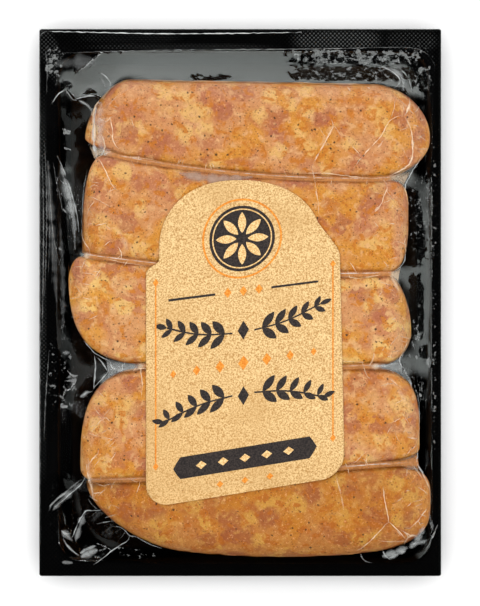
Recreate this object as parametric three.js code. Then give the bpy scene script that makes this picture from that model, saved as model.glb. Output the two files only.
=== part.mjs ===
// A vacuum pack of five fat fresh sausages, lying flat with its window up.
// A thin black formed tray holds the sausages side by side. A clear film is pulled down
// over them and sealed to the tray's flange, and a paper label with an arched top is
// stuck on the film.
// Millimetres. X runs across the pack, Y along it and Z up. The origin is the middle of
// the tray's flat underside.

import * as THREE from "three";

// The pack, and the gap that keeps neighbouring solids apart
const PACK_WIDTH = 130.6;
const PACK_LENGTH = 177.8;
const GAP = 0.3;

// The tray: a flange all round, a mouth with round corners, steep walls and a flat floor
const TRAY_THICKNESS = 0.6;
const FLANGE_TOP = 8;
const MOUTH = { left: -59.5, right: 61.8, bottom: -84.5, top: 81.8 };
const MOUTH_RADIUS = 8;
const PACK_RADIUS = 0.8;
const WALL_RUN = 5;
const CORNER_STEPS = 6;

// The sausages fill bands between six lines across the pack. Each line is a parabola
// through its heights at these three places, from the topmost edge down to the lowest.
const BAND_PLACES = [-42, 2, 45];
const BAND_LINES = [
  [72.2, 71.5, 70.6],
  [47.4, 41.1, 39.6],
  [14.2, 9.9, 9.2],
  [-19.4, -21.4, -20.0],
  [-57.1, -55.2, -52.0],
  [-76.8, -82.0, -80.6],
];

// The ends of the sausages from the topmost down. Each end has its tip's place along X,
// how far the tip lies above (+) or below (-) the middle of the band as a share of half
// the band, how long the rounding is and how square it is.
const LEFT_ENDS = [
  { tip: -50.2, offset: -0.65, length: 14.5, power: 1.7 },
  { tip: -51.1, offset: -0.9, length: 9, power: 2.6 },
  { tip: -55.5, offset: 0.78, length: 28.5, power: 3.2 },
  { tip: -51.7, offset: -0.88, length: 33, power: 3.1 },
  { tip: -49.7, offset: 0.88, length: 30.5, power: 1.9 },
];
const RIGHT_ENDS = [
  { tip: 61.4, offset: -0.14, length: 19.5, power: 2 },
  { tip: 54.3, offset: 0.33, length: 8.5, power: 2.9 },
  { tip: 55.3, offset: -0.34, length: 8.5, power: 1.8 },
  { tip: 57.9, offset: -0.68, length: 30, power: 3.6 },
  { tip: 61.5, offset: 0.04, length: 31, power: 3.4 },
];
const HEIGHTS = [26.6, 27.2, 27.4, 27.6, 26.2];
const SECTION_POWER = 2.8;
const STATIONS = 24;
const SECTION_SIDES = 18;

// The clear film, and how hard the vacuum pulls it in where nothing holds it up
const FILM_THICKNESS = 0.4;
const FILM_CLEARANCE = 0.6;
const FILM_COLUMNS = 34;
const FILM_ROWS = 46;
const FILM_PULL = 0.9;
const FILM_PASSES = 600;

// The paper label: an arch on a wider body, whose level lines slant up to the right. Each
// side steps out from the arch to the body at its shoulder.
const PAPER_THICKNESS = 0.4;
const PAPER_CLEARANCE = 0.5;
const PAPER_BEND = 0.011;
const PAPER_REACH = 20;
const ARCH = { middle: -0.25, halfWidth: 25.8, foot: 18.4, crown: 39.25, power: 2.2 };
const BODY = { left: -30.2, rightAtTop: 31.8, rightAtBottom: 33.5, top: 18, bottom: -61.1 };
const LEFT_SHOULDER = { top: 15.4, bottom: 12.3, power: 0.63 };
const RIGHT_SHOULDER = { top: 25.8, bottom: 11.7, power: 1 };
const FOOT_RADIUS = 7.5;
const SLANT = 0.162;
const SLANT_FULL_BELOW = -6;
const PAPER_COLUMNS = 10;
const ARCH_STEPS = 9;
const SHOULDER_STEPS = 6;
const SIDE_STEPS = 12;
const FOOT_STEPS = 4;

const FLOOR_TOP = TRAY_THICKNESS;
const SAUSAGE_FOOT = FLOOR_TOP + GAP;

function mix(a, b, share) {
  return a + (b - a) * share;
}

function clamp(value, low, high) {
  return Math.min(high, Math.max(low, value));
}

// A solid from its points and its triangles, each an [a, b, c] that faces out
function solidGeometry(points, triangles) {
  const geometry = new THREE.BufferGeometry();
  geometry.setAttribute("position", new THREE.Float32BufferAttribute(points.flat(), 3));
  geometry.setIndex(triangles.flat());
  geometry.computeVertexNormals();
  return geometry;
}

// The triangles between neighbouring closed rings of equal length
function ringTriangles(ringCount, ringLength) {
  const triangles = [];
  for (let ring = 0; ring + 1 < ringCount; ring++) {
    for (let i = 0; i < ringLength; i++) {
      const a = ring * ringLength + i;
      const b = ring * ringLength + ((i + 1) % ringLength);
      triangles.push([a, b, b + ringLength], [a, b + ringLength, a + ringLength]);
    }
  }
  return triangles;
}

// A closed solid from rings of points, with a single point before the first ring and
// one after the last
function closedLoft(firstPoint, rings, lastPoint) {
  const ringLength = rings[0].length;
  const points = [...rings.flat(), firstPoint, lastPoint];
  const first = points.length - 2;
  const last = points.length - 1;
  const lastRing = (rings.length - 1) * ringLength;
  const triangles = ringTriangles(rings.length, ringLength);
  for (let i = 0; i < ringLength; i++) {
    const next = (i + 1) % ringLength;
    triangles.push([first, next, i]);
    triangles.push([lastRing + i, lastRing + next, last]);
  }
  return solidGeometry(points, triangles);
}

// A sheet of even thickness from its upper face, which is rows of points
function sheetSolid(rows, thickness) {
  const columns = rows[0].length;
  const upper = rows.flat();
  const lower = upper.map(([x, y, z]) => [x, y, z - thickness]);
  const under = upper.length;
  const triangles = [];
  for (let row = 0; row + 1 < rows.length; row++) {
    for (let column = 0; column + 1 < columns; column++) {
      const a = row * columns + column;
      const b = a + 1;
      const c = a + columns;
      const d = c + 1;
      triangles.push([a, b, d], [a, d, c]);
      triangles.push([under + a, under + d, under + b], [under + a, under + c, under + d]);
    }
  }
  const edge = [];
  for (let column = 0; column < columns; column++) edge.push(column);
  for (let row = 1; row < rows.length; row++) edge.push(row * columns + columns - 1);
  for (let column = columns - 2; column >= 0; column--) {
    edge.push((rows.length - 1) * columns + column);
  }
  for (let row = rows.length - 2; row > 0; row--) edge.push(row * columns);
  edge.forEach((a, i) => {
    const b = edge[(i + 1) % edge.length];
    triangles.push([a, under + a, under + b], [a, under + b, b]);
  });
  return solidGeometry([...upper, ...lower], triangles);
}

// A rectangle with round corners at one height, anticlockwise from its right side
function roundRectangle(box, radius, z) {
  const centres = [
    [box.right - radius, box.top - radius],
    [box.left + radius, box.top - radius],
    [box.left + radius, box.bottom + radius],
    [box.right - radius, box.bottom + radius],
  ];
  const ring = [];
  centres.forEach(([x, y], quarter) => {
    for (let step = 0; step <= CORNER_STEPS; step++) {
      const angle = (quarter + step / CORNER_STEPS) * (Math.PI / 2);
      ring.push([x + radius * Math.cos(angle), y + radius * Math.sin(angle), z]);
    }
  });
  return ring;
}

function shrink(box, margin) {
  return {
    left: box.left + margin,
    right: box.right - margin,
    bottom: box.bottom + margin,
    top: box.top - margin,
  };
}

const PACK_BOX = {
  left: -PACK_WIDTH / 2,
  right: PACK_WIDTH / 2,
  bottom: -PACK_LENGTH / 2,
  top: PACK_LENGTH / 2,
};

// The tray is one thin shell: out along its underside, over the flange's edge and back
// down its inside
function trayGeometry() {
  const floorBox = shrink(MOUTH, WALL_RUN);
  const floorRadius = MOUTH_RADIUS - WALL_RUN / 2;
  const outside = -TRAY_THICKNESS;
  const middle = [(MOUTH.left + MOUTH.right) / 2, (MOUTH.bottom + MOUTH.top) / 2];
  const flangeFoot = FLANGE_TOP - TRAY_THICKNESS;
  const rings = [
    roundRectangle(shrink(floorBox, outside), floorRadius - outside, 0),
    roundRectangle(shrink(MOUTH, outside), MOUTH_RADIUS - outside, flangeFoot),
    roundRectangle(PACK_BOX, PACK_RADIUS, flangeFoot),
    roundRectangle(PACK_BOX, PACK_RADIUS, FLANGE_TOP),
    roundRectangle(MOUTH, MOUTH_RADIUS, FLANGE_TOP),
    roundRectangle(floorBox, floorRadius, FLOOR_TOP),
  ];
  return closedLoft([...middle, 0], rings, [...middle, FLOOR_TOP]);
}

// The height along Y of one of the lines that bound the bands
function bandLine(line, x) {
  const [x0, x1, x2] = BAND_PLACES;
  const [y0, y1, y2] = BAND_LINES[line];
  const first = (y1 - y0) / (x1 - x0);
  const second = (y2 - y1) / (x2 - x1);
  const bend = (second - first) / (x2 - x0);
  return y0 + first * (x - x0) + bend * (x - x0) * (x - x1);
}

// How full a sausage is at a distance from one of its tips, from 0 to 1
function fullness(end, fromTip) {
  const inEnd = clamp(1 - fromTip / end.length, 0, 1);
  return (1 - inEnd ** end.power) ** (1 / end.power);
}

// The middle and the half sizes of a sausage's section at x
function sectionAt(index, x) {
  const left = LEFT_ENDS[index];
  const right = RIGHT_ENDS[index];
  const upper = bandLine(index, x) - GAP / 2;
  const lower = bandLine(index + 1, x) + GAP / 2;
  const halfBand = (upper - lower) / 2;
  const leftFull = fullness(left, x - left.tip);
  const rightFull = fullness(right, right.tip - x);
  const offset = left.offset * (1 - leftFull) + right.offset * (1 - rightFull);
  return {
    y: (upper + lower) / 2 + offset * halfBand,
    z: SAUSAGE_FOOT + HEIGHTS[index] / 2,
    halfWidth: halfBand * leftFull * rightFull,
    halfHeight: (HEIGHTS[index] / 2) * leftFull * rightFull,
  };
}

function signedPower(value, power) {
  return Math.sign(value) * Math.abs(value) ** power;
}

// A sausage is lofted along X with its sections closer together towards the tips
function sausageGeometry(index) {
  const left = LEFT_ENDS[index].tip;
  const right = RIGHT_ENDS[index].tip;
  const rings = [];
  for (let station = 1; station < STATIONS; station++) {
    const along = (1 - Math.cos((station / STATIONS) * Math.PI)) / 2;
    const x = mix(left, right, along);
    const section = sectionAt(index, x);
    const ring = [];
    for (let side = 0; side < SECTION_SIDES; side++) {
      const angle = (side / SECTION_SIDES) * 2 * Math.PI;
      const across = signedPower(Math.cos(angle), 2 / SECTION_POWER);
      const up = signedPower(Math.sin(angle), 2 / SECTION_POWER);
      ring.push([x, section.y + across * section.halfWidth, section.z + up * section.halfHeight]);
    }
    rings.push(ring);
  }
  const start = sectionAt(index, left);
  const end = sectionAt(index, right);
  return closedLoft([left, start.y, start.z], rings, [right, end.y, end.z]);
}

// The height of a sausage's upper face over a place, or nothing beside it
function sausageTop(index, x, y) {
  if (x <= LEFT_ENDS[index].tip || x >= RIGHT_ENDS[index].tip) return 0;
  const section = sectionAt(index, x);
  const across = Math.abs(y - section.y) / section.halfWidth;
  if (across >= 1) return 0;
  return section.z + section.halfHeight * (1 - across ** SECTION_POWER) ** (1 / SECTION_POWER);
}

// How far a place lies inside a rectangle with round corners
function depthInside(box, radius, x, y) {
  const dx = Math.max(box.left + radius - x, x - box.right + radius);
  const dy = Math.max(box.bottom + radius - y, y - box.top + radius);
  const outside = Math.hypot(Math.max(dx, 0), Math.max(dy, 0));
  return radius - outside - Math.min(Math.max(dx, dy), 0);
}

// The height of the tray's inside over a place
function trayTop(x, y) {
  const down = clamp(depthInside(MOUTH, MOUTH_RADIUS, x, y) / WALL_RUN, 0, 1);
  return mix(FLANGE_TOP, FLOOR_TOP, down);
}

// What the film can't pass at a place: the highest of the tray and the sausages within
// half a cell of it
function filmLimit(x, y, cellX, cellY) {
  let highest = 0;
  for (const stepX of [-0.5, 0, 0.5]) {
    for (const stepY of [-0.5, 0, 0.5]) {
      const nearX = x + stepX * cellX;
      const nearY = y + stepY * cellY;
      highest = Math.max(highest, trayTop(nearX, nearY));
      HEIGHTS.forEach((_, index) => {
        highest = Math.max(highest, sausageTop(index, nearX, nearY));
      });
    }
  }
  return highest + FILM_CLEARANCE;
}

// The film's underside, as rows of heights. Each inner point settles to the mean of its
// neighbours, less the pull of the vacuum, and never below what lies under it.
function drapedFilm() {
  const cellX = PACK_WIDTH / FILM_COLUMNS;
  const cellY = PACK_LENGTH / FILM_ROWS;
  const limits = [];
  for (let row = 0; row <= FILM_ROWS; row++) {
    const y = PACK_BOX.bottom + row * cellY;
    const line = [];
    for (let column = 0; column <= FILM_COLUMNS; column++) {
      const onEdge = row % FILM_ROWS === 0 || column % FILM_COLUMNS === 0;
      const x = PACK_BOX.left + column * cellX;
      line.push(onEdge ? FLANGE_TOP + GAP : filmLimit(x, y, cellX, cellY));
    }
    limits.push(line);
  }
  const heights = limits.map((line) => [...line]);
  for (let pass = 0; pass < FILM_PASSES; pass++) {
    for (let row = 1; row < FILM_ROWS; row++) {
      for (let column = 1; column < FILM_COLUMNS; column++) {
        const sides = heights[row][column - 1] + heights[row][column + 1];
        const ends = heights[row - 1][column] + heights[row + 1][column];
        const settled = (sides + ends) / 4 - FILM_PULL;
        heights[row][column] = Math.max(limits[row][column], settled);
      }
    }
  }
  return heights;
}

const FILM_HEIGHTS = drapedFilm();

function filmGeometry() {
  const rows = FILM_HEIGHTS.map((line, row) =>
    line.map((height, column) => [
      mix(PACK_BOX.left, PACK_BOX.right, column / FILM_COLUMNS),
      mix(PACK_BOX.bottom, PACK_BOX.top, row / FILM_ROWS),
      height + FILM_THICKNESS,
    ]),
  );
  return sheetSolid(rows, FILM_THICKNESS);
}

// The film's upper face over a place, between the points of its grid
function filmTop(x, y) {
  const alongX = clamp((x / PACK_WIDTH + 0.5) * FILM_COLUMNS, 0, FILM_COLUMNS - 1e-6);
  const alongY = clamp((y / PACK_LENGTH + 0.5) * FILM_ROWS, 0, FILM_ROWS - 1e-6);
  const column = Math.floor(alongX);
  const row = Math.floor(alongY);
  const line = (r) =>
    mix(FILM_HEIGHTS[r][column], FILM_HEIGHTS[r][column + 1], alongX - column);
  return mix(line(row), line(row + 1), alongY - row) + FILM_THICKNESS;
}

// The label lies on the crests and sags between them, as paper bends no tighter
function paperUnderside(x, y) {
  let height = 0;
  for (let away = -PAPER_REACH; away <= PAPER_REACH; away++) {
    height = Math.max(height, filmTop(x, y + away) - PAPER_BEND * away * away);
  }
  return height + PAPER_CLEARANCE;
}

// How far a side of the label has stepped out at a level, from 0 on the arch to 1
function shoulderShare(shoulder, level) {
  const down = clamp((shoulder.top - level) / (shoulder.top - shoulder.bottom), 0, 1);
  return (down * down * (3 - 2 * down)) ** shoulder.power;
}

// The left and right ends of the label at a level
function labelSpan(level) {
  const up = clamp((level - ARCH.foot) / (ARCH.crown - ARCH.foot), 0, 1);
  const half = ARCH.halfWidth * (1 - up ** ARCH.power) ** (1 / ARCH.power);
  const down = (BODY.top - level) / (BODY.top - BODY.bottom);
  const bodyRight = mix(BODY.rightAtTop, BODY.rightAtBottom, down);
  const inFoot = clamp((BODY.bottom + FOOT_RADIUS - level) / FOOT_RADIUS, 0, 1);
  const inset = FOOT_RADIUS * (1 - Math.sqrt(1 - inFoot ** 2));
  const left = mix(ARCH.middle - half, BODY.left, shoulderShare(LEFT_SHOULDER, level));
  const right = mix(ARCH.middle + half, bodyRight, shoulderShare(RIGHT_SHOULDER, level));
  return [left + inset, right - inset];
}

// The levels of the label's rows from the crown down, closer together where it curves
function labelLevels() {
  const sideTop = RIGHT_SHOULDER.bottom;
  const sideBottom = BODY.bottom + FOOT_RADIUS;
  const levels = [];
  for (let step = 1; step <= ARCH_STEPS; step++) {
    const angle = (step / ARCH_STEPS) * (Math.PI / 2);
    levels.push(ARCH.foot + (ARCH.crown - ARCH.foot) * Math.cos(angle) ** (2 / ARCH.power));
  }
  for (let step = 1; step <= SHOULDER_STEPS; step++) {
    levels.push(mix(ARCH.foot, sideTop, step / SHOULDER_STEPS));
  }
  for (let step = 1; step <= SIDE_STEPS; step++) {
    levels.push(mix(sideTop, sideBottom, step / SIDE_STEPS));
  }
  for (let step = 1; step <= FOOT_STEPS; step++) {
    const angle = (step / FOOT_STEPS) * (Math.PI / 2);
    levels.push(sideBottom - FOOT_RADIUS * Math.sin(angle));
  }
  return levels;
}

function labelGeometry() {
  const rows = labelLevels().map((level) => {
    const [left, right] = labelSpan(level);
    const fromCrown = (ARCH.crown - level) / (ARCH.crown - SLANT_FULL_BELOW);
    const slant = SLANT * clamp(fromCrown, 0, 1);
    const row = [];
    for (let column = 0; column <= PAPER_COLUMNS; column++) {
      const x = mix(left, right, column / PAPER_COLUMNS);
      const y = level + slant * x;
      row.push([x, y, paperUnderside(x, y) + PAPER_THICKNESS]);
    }
    return row;
  });
  return sheetSolid(rows.reverse(), PAPER_THICKNESS);
}

const trayPlastic = new THREE.MeshStandardMaterial({ color: 0x0b0b0b, roughness: 0.25, metalness: 0 });
const meat = new THREE.MeshStandardMaterial({ color: 0xd2935a, roughness: 0.45, metalness: 0 });
const clearFilm = new THREE.MeshStandardMaterial({
  color: 0xffffff,
  roughness: 0.1,
  metalness: 0,
  transparent: true,
  opacity: 0.3,
});
const kraftPaper = new THREE.MeshStandardMaterial({ color: 0xd8b077, roughness: 0.85, metalness: 0 });

const pack = new THREE.Group();

function addPiece(name, geometry, material) {
  const mesh = new THREE.Mesh(geometry, material);
  mesh.name = name;
  pack.add(mesh);
}

addPiece("tray", trayGeometry(), trayPlastic);
HEIGHTS.forEach((_, index) => {
  addPiece(`sausage_${index + 1}`, sausageGeometry(index), meat);
});
addPiece("clear_film", filmGeometry(), clearFilm);
addPiece("label", labelGeometry(), kraftPaper);

export default pack;
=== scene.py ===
# A vacuum pack of five fat fresh sausages, seen from straight above.
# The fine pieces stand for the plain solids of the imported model: a black formed tray,
# five sausages under their casings, the clear film with its folds, and a kraft label.
import math

import bpy
import numpy as np
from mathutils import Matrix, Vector


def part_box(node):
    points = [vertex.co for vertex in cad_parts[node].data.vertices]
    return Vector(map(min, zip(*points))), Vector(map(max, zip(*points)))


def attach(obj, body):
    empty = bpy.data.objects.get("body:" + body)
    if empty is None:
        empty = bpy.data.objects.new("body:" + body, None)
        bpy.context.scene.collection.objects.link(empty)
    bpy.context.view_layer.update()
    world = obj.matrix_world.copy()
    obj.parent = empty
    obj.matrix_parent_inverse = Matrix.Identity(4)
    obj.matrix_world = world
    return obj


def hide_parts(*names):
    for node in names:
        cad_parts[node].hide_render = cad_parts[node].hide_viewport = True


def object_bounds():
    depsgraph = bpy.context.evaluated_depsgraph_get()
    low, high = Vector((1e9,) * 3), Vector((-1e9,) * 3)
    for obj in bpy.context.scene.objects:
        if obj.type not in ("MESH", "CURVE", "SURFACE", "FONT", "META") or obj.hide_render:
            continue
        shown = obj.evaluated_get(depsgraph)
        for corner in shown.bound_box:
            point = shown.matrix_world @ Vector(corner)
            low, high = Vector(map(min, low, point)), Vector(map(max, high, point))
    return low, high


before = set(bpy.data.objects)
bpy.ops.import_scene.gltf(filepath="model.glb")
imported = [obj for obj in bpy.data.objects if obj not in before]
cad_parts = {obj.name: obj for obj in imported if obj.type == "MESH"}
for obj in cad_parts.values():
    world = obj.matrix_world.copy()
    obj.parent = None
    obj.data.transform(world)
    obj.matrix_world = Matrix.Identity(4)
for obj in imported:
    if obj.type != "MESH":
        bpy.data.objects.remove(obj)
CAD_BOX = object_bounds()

MM = 0.001

# The pack, in millimetres. The tray's and the sausages' values are those of the model's
# source, but the sausages lie closer and four left tips are a little further aside. The
# flange's edge is how far in and how far down each of its corners is
PACK_LOW, PACK_HIGH = (np.array(corner) / MM for corner in CAD_BOX)
PACK_WIDTH = PACK_HIGH[0] - PACK_LOW[0]
PACK_LENGTH = PACK_HIGH[1] - PACK_LOW[1]
TRAY_THICKNESS = 0.6
FLANGE_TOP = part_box("tray")[1].z / MM
MOUTH = {"left": -59.5, "right": 61.8, "bottom": -84.5, "top": 81.8}
MOUTH_RADIUS = 8
WALL_RUN = 5
PACK_RADIUS = 0.8
FLOOR_TOP = TRAY_THICKNESS
FLANGE_EDGE = ((0, TRAY_THICKNESS), (0, 0.25), (0.3, 0))
WALL_STEPS = 8
SAUSAGE_FOOT = 0.9
GAP = 0.08

# The sausages fill bands between six parabolas across the pack
BAND_PLACES = (-42, 2, 45)
BAND_LINES = (
    (72.2, 71.5, 70.6),
    (47.4, 41.1, 39.6),
    (14.2, 9.9, 9.2),
    (-19.4, -21.4, -20.0),
    (-57.1, -55.2, -52.0),
    (-76.8, -82.0, -80.6),
)
# Each end: its tip along X, the tip's offset as a share of half the band, how long the
# rounding is and how square
LEFT_ENDS = (
    (-50.2, -0.65, 14.5, 1.7),
    (-51.1, -0.95, 9, 2.6),
    (-55.5, 0.84, 28.5, 3.2),
    (-51.7, -0.95, 33, 3.1),
    (-49.7, 0.96, 30.5, 1.9),
)
RIGHT_ENDS = (
    (61.4, -0.14, 19.5, 2),
    (54.3, 0.33, 8.5, 2.9),
    (55.3, -0.34, 8.5, 1.8),
    (57.9, -0.68, 30, 3.6),
    (61.5, 0.04, 31, 3.4),
)
HEIGHTS = (26.6, 27.2, 27.4, 27.6, 26.2)
# Left ends that are rounder on one side: the sausage, 1 for its upper side or -1 for its
# lower one, how deep the rounding is and how far it reaches
ROUNDER = ((2, 1, 8, 4.5), (3, -1, 4, 3))
NARROWEST = 0.02
# How square the sausages' sections are on their upper and lower sides in the photograph's
# plane: more where another sausage presses on them
UPPER_POWERS = (3.1, 8, 8, 8, 8)
LOWER_POWERS = (8, 8, 8, 8, 3.1)
STATIONS = 150
SECTION_SIDES = 96
# How high the lumps are, the shares of the broad and the fine ones, and the share of both
# that shows sideways. Where half a sausage's height is under SMOOTH_TIP they fade out
LUMP_HEIGHT = 0.16
LUMP_SHARES = (0.7, 0.35)
SIDE_LUMPS = 0.6
SMOOTH_TIP = 6

# The film
FILM_CLEARANCE = 0.3
FILM_CELL = 0.5
FILM_CURVE = 0.24
TAUT_CURVE = 0.05
KNURL_PITCH = 1.35

# The label
PAPER_THICKNESS = 0.15
PAPER_CLEARANCE = 0.12
PAPER_BEND = 0.017
PAPER_REACH = 20
PAPER_CELL = 0.6
ARCH = {"middle": -0.25, "half": 25.8, "foot": 18.4, "crown": 39.25, "power": 2.2}
BODY = {"left": -30.2, "right_top": 31.8, "right_bottom": 33.5, "top": 18, "bottom": -61.1}
LEFT_SHOULDER = (15.4, 12.3, 0.63)
RIGHT_SHOULDER = (25.8, 11.7, 1)
FOOT_RADIUS = 7.5
SLANT = 0.162
SLANT_FULL_BELOW = -6
INK_LIFT = 0.09


def mix(a, b, share):
    return a + (b - a) * share


def smooth_step(low, high, value):
    share = np.clip((value - low) / (high - low), 0, 1)
    return share * share * (3 - 2 * share)


def new_mesh(name, points, faces, smooth=True):
    """A mesh object from points in millimetres."""
    mesh = bpy.data.meshes.new(name)
    mesh.from_pydata((np.asarray(points, float) * MM).tolist(), [], list(faces))
    mesh.validate()
    mesh.polygons.foreach_set("use_smooth", [smooth] * len(mesh.polygons))
    mesh.update()
    piece = bpy.data.objects.new(name, mesh)
    bpy.context.scene.collection.objects.link(piece)
    return piece


def grid_faces(rows, columns, closed=False):
    """The quads of a grid of points in rows; closed joins each row's end to its start."""
    last = columns if closed else columns - 1
    row, column = np.meshgrid(np.arange(rows - 1), np.arange(last), indexing="ij")
    a = row * columns + column
    b = row * columns + (column + 1) % columns
    return np.stack([a, b, b + columns, a + columns], axis=-1).reshape(-1, 4)


def closed_rings(name, rings, *ends):
    """A closed mesh from rings of points in order, with a point to close each end."""
    count, size = np.shape(rings)[:2]
    points = np.vstack([np.reshape(rings, (-1, 3)), ends])
    faces = grid_faces(count, size, closed=True).tolist()
    last = (count - 1) * size
    for side in range(size):
        following = (side + 1) % size
        faces.append([len(points) - 2, following, side])
        faces.append([len(points) - 1, last + side, last + following])
    return new_mesh(name, points, faces)


def wear(piece, material, slot, *nodes):
    """Finishes a piece: its material, the body it rides and what it stands for. Its slot is not used."""
    piece.data.materials.append(material)
    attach(piece, "root")
    if nodes:
        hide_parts(*nodes)
    return piece


# Smooth seeded waves in space, from about -1 to 1

def wave_set(seed, length, count=10):
    draw = np.random.default_rng(seed)
    directions = draw.normal(size=(count, 3))
    directions /= np.linalg.norm(directions, axis=1, keepdims=True)
    rates = directions * (2 * math.pi / length) * draw.uniform(0.7, 1.5, (count, 1))
    return rates, draw.uniform(0, 2 * math.pi, count)


def waves(x, y, z, wave):
    rates, phases = wave
    total = 0
    for rate, phase in zip(rates, phases):
        total = total + np.sin(rate[0] * x + rate[1] * y + rate[2] * z + phase)
    return total / math.sqrt(len(phases))


LUMPS = wave_set(3, 9)
FINE_LUMPS = wave_set(4, 4)


def lump(x, y, z):
    broad, fine = LUMP_SHARES
    return LUMP_HEIGHT * (broad * waves(x, y, z, LUMPS) + fine * waves(x, y, z, FINE_LUMPS))


# Sausages

def band_line(line, x):
    x0, x1, x2 = BAND_PLACES
    y0, y1, y2 = BAND_LINES[line]
    first = (y1 - y0) / (x1 - x0)
    second = (y2 - y1) / (x2 - x1)
    bend = (second - first) / (x2 - x0)
    return y0 + first * (x - x0) + bend * (x - x0) * (x - x1)


def fullness(end, from_tip):
    """How full a sausage is at a distance from one of its tips, from 0 to 1."""
    in_end = np.clip(1 - from_tip / end[2], 0, 1)
    return (1 - in_end ** end[3]) ** (1 / end[3])


def section_at(index, x):
    """Middle y, middle z, half width and half height of a sausage at x."""
    left, right = LEFT_ENDS[index], RIGHT_ENDS[index]
    upper = band_line(index, x) - GAP / 2
    lower = band_line(index + 1, x) + GAP / 2
    half_band = (upper - lower) / 2
    left_full = fullness(left, x - left[0])
    right_full = fullness(right, right[0] - x)
    offset = left[1] * (1 - left_full) + right[1] * (1 - right_full)
    half_height = HEIGHTS[index] / 2
    full = left_full * right_full
    y = (upper + lower) / 2 + offset * half_band
    half_width = half_band * full
    for rounder, side, deep, reach in ROUNDER:
        if rounder == index:
            cut = deep * (1 - fullness((0, 0, reach, 2), x - left[0]))
            narrower = np.maximum(half_width - cut / 2, np.minimum(half_width, NARROWEST))
            y = y - side * (half_width - narrower)
            half_width = narrower
    return y, SAUSAGE_FOOT + half_height, half_width, half_height * full


def signed_power(value, power):
    return np.sign(value) * np.abs(value) ** power


def sausage_piece(index):
    tips_x = (LEFT_ENDS[index][0], RIGHT_ENDS[index][0])
    along = (1 - np.cos(np.linspace(0, math.pi, STATIONS))) / 2
    x = mix(*tips_x, along)[1:-1, None]
    angle = np.linspace(0, 2 * math.pi, SECTION_SIDES, endpoint=False)[None, :]
    y, z, half_width, half_height = section_at(index, x)
    power = np.where(np.cos(angle) > 0, UPPER_POWERS[index], LOWER_POWERS[index])
    across = signed_power(np.cos(angle), 2 / power)
    up = signed_power(np.sin(angle), 2 / power)
    py = y + across * half_width
    pz = z + up * half_height
    px = np.broadcast_to(x, py.shape)
    swell = lump(px, py, pz) * np.minimum(1, half_height / SMOOTH_TIP)
    py = py + across * swell * SIDE_LUMPS
    pz = pz + up * swell
    tips = []
    for x_tip in tips_x:
        y_tip, z_tip, _, _ = section_at(index, np.array(x_tip, float))
        tips.append([x_tip, float(y_tip), float(z_tip)])
    return closed_rings(f"sausage_{index + 1}_meat", np.stack([px, py, pz], axis=-1), *tips)


def sausage_top(index, x, y):
    """The height of a sausage's upper face over each place, or 0 beside it."""
    low, high = LEFT_ENDS[index][0], RIGHT_ENDS[index][0]
    middle, z, half_width, half_height = section_at(index, np.clip(x, low + 0.01, high - 0.01))
    power = np.where(y > middle, UPPER_POWERS[index], LOWER_POWERS[index])
    across = np.abs(y - middle) / half_width
    up = (1 - np.minimum(across, 1) ** power) ** (1 / power)
    top = z + half_height * up
    top = top + lump(x, y, top) * up
    return np.where((across < 1) & (x > low) & (x < high), top, 0)


def highest_sausage(x, y):
    """The height of the highest sausage over each place, or 0 beside them all."""
    return np.max([sausage_top(index, x, y) for index in range(len(HEIGHTS))], axis=0)


# The tray's inside, and the film that settles over it

def depth_inside(box, radius, x, y):
    """How far each place is inside a rounded rectangle, and below 0 outside it."""
    dx = np.maximum(box["left"] + radius - x, x - box["right"] + radius)
    dy = np.maximum(box["bottom"] + radius - y, y - box["top"] + radius)
    outside = np.hypot(np.maximum(dx, 0), np.maximum(dy, 0))
    return radius - outside - np.minimum(np.maximum(dx, dy), 0)


def inside_mouth(x, y):
    return depth_inside(MOUTH, MOUTH_RADIUS, x, y)


def tray_top(x, y):
    down = np.clip(inside_mouth(x, y) / WALL_RUN, 0, 1)
    return mix(FLANGE_TOP, FLOOR_TOP, smooth_step(0, 1, down))


def smooth_line(points, rounds=3):
    """Cuts the corners of a line of points again and again, and keeps its ends."""
    line = np.asarray(points, float)
    for _ in range(rounds):
        near = line[:-1] * 0.75 + line[1:] * 0.25
        far = line[:-1] * 0.25 + line[1:] * 0.75
        line = np.vstack([line[:1], np.stack([near, far], axis=1).reshape(-1, 2), line[-1:]])
    return line


def line_shares(line):
    """How far along the line each of its points is, from 0 to 1."""
    steps = np.linalg.norm(np.diff(line, axis=0), axis=1)
    return np.concatenate([[0], np.cumsum(steps)]) / steps.sum()


def line_field(line, gx, gy):
    """The distance from each place to a line of points, and how far along it that is."""
    shares = line_shares(line)
    nearest = np.full(gx.shape, 1e9)
    along = np.zeros(gx.shape)
    for (ax, ay), (bx, by), start, end in zip(line[:-1], line[1:], shares[:-1], shares[1:]):
        size = max((bx - ax) ** 2 + (by - ay) ** 2, 1e-9)
        share = np.clip(((gx - ax) * (bx - ax) + (gy - ay) * (by - ay)) / size, 0, 1)
        away = np.hypot(gx - ax - share * (bx - ax), gy - ay - share * (by - ay))
        closer = away < nearest
        nearest = np.where(closer, away, nearest)
        along = np.where(closer, mix(start, end, share), along)
    return nearest, along


# A ridge where the film is folded up between the tray's corner and a sausage's end
RIDGE = (
    (-61, 64.5, 9.5),
    (-59, 67, 13),
    (-56.3, 68.7, 17),
    (-54, 65.4, 18),
    (-50, 66.3, 20),
    (-46.3, 66.4, 22),
)
RIDGE_HALF_WIDTH = 0.6
# Where the film turns taut, up the pack and to its right
TAUT_UP = (69, 73)
TAUT_RIGHT = (50, 55)
# The grids that it settles on: each one's cell and how many rounds
SETTLING = ((4, 400), (2, 300), (1, 300), (FILM_CELL, 300))


def film_grid(cell):
    columns = round(PACK_WIDTH / cell) + 1
    rows = round(PACK_LENGTH / cell) + 1
    x = np.linspace(PACK_LOW[0], PACK_HIGH[0], columns)
    y = np.linspace(PACK_LOW[1], PACK_HIGH[1], rows)
    return x, y


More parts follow.
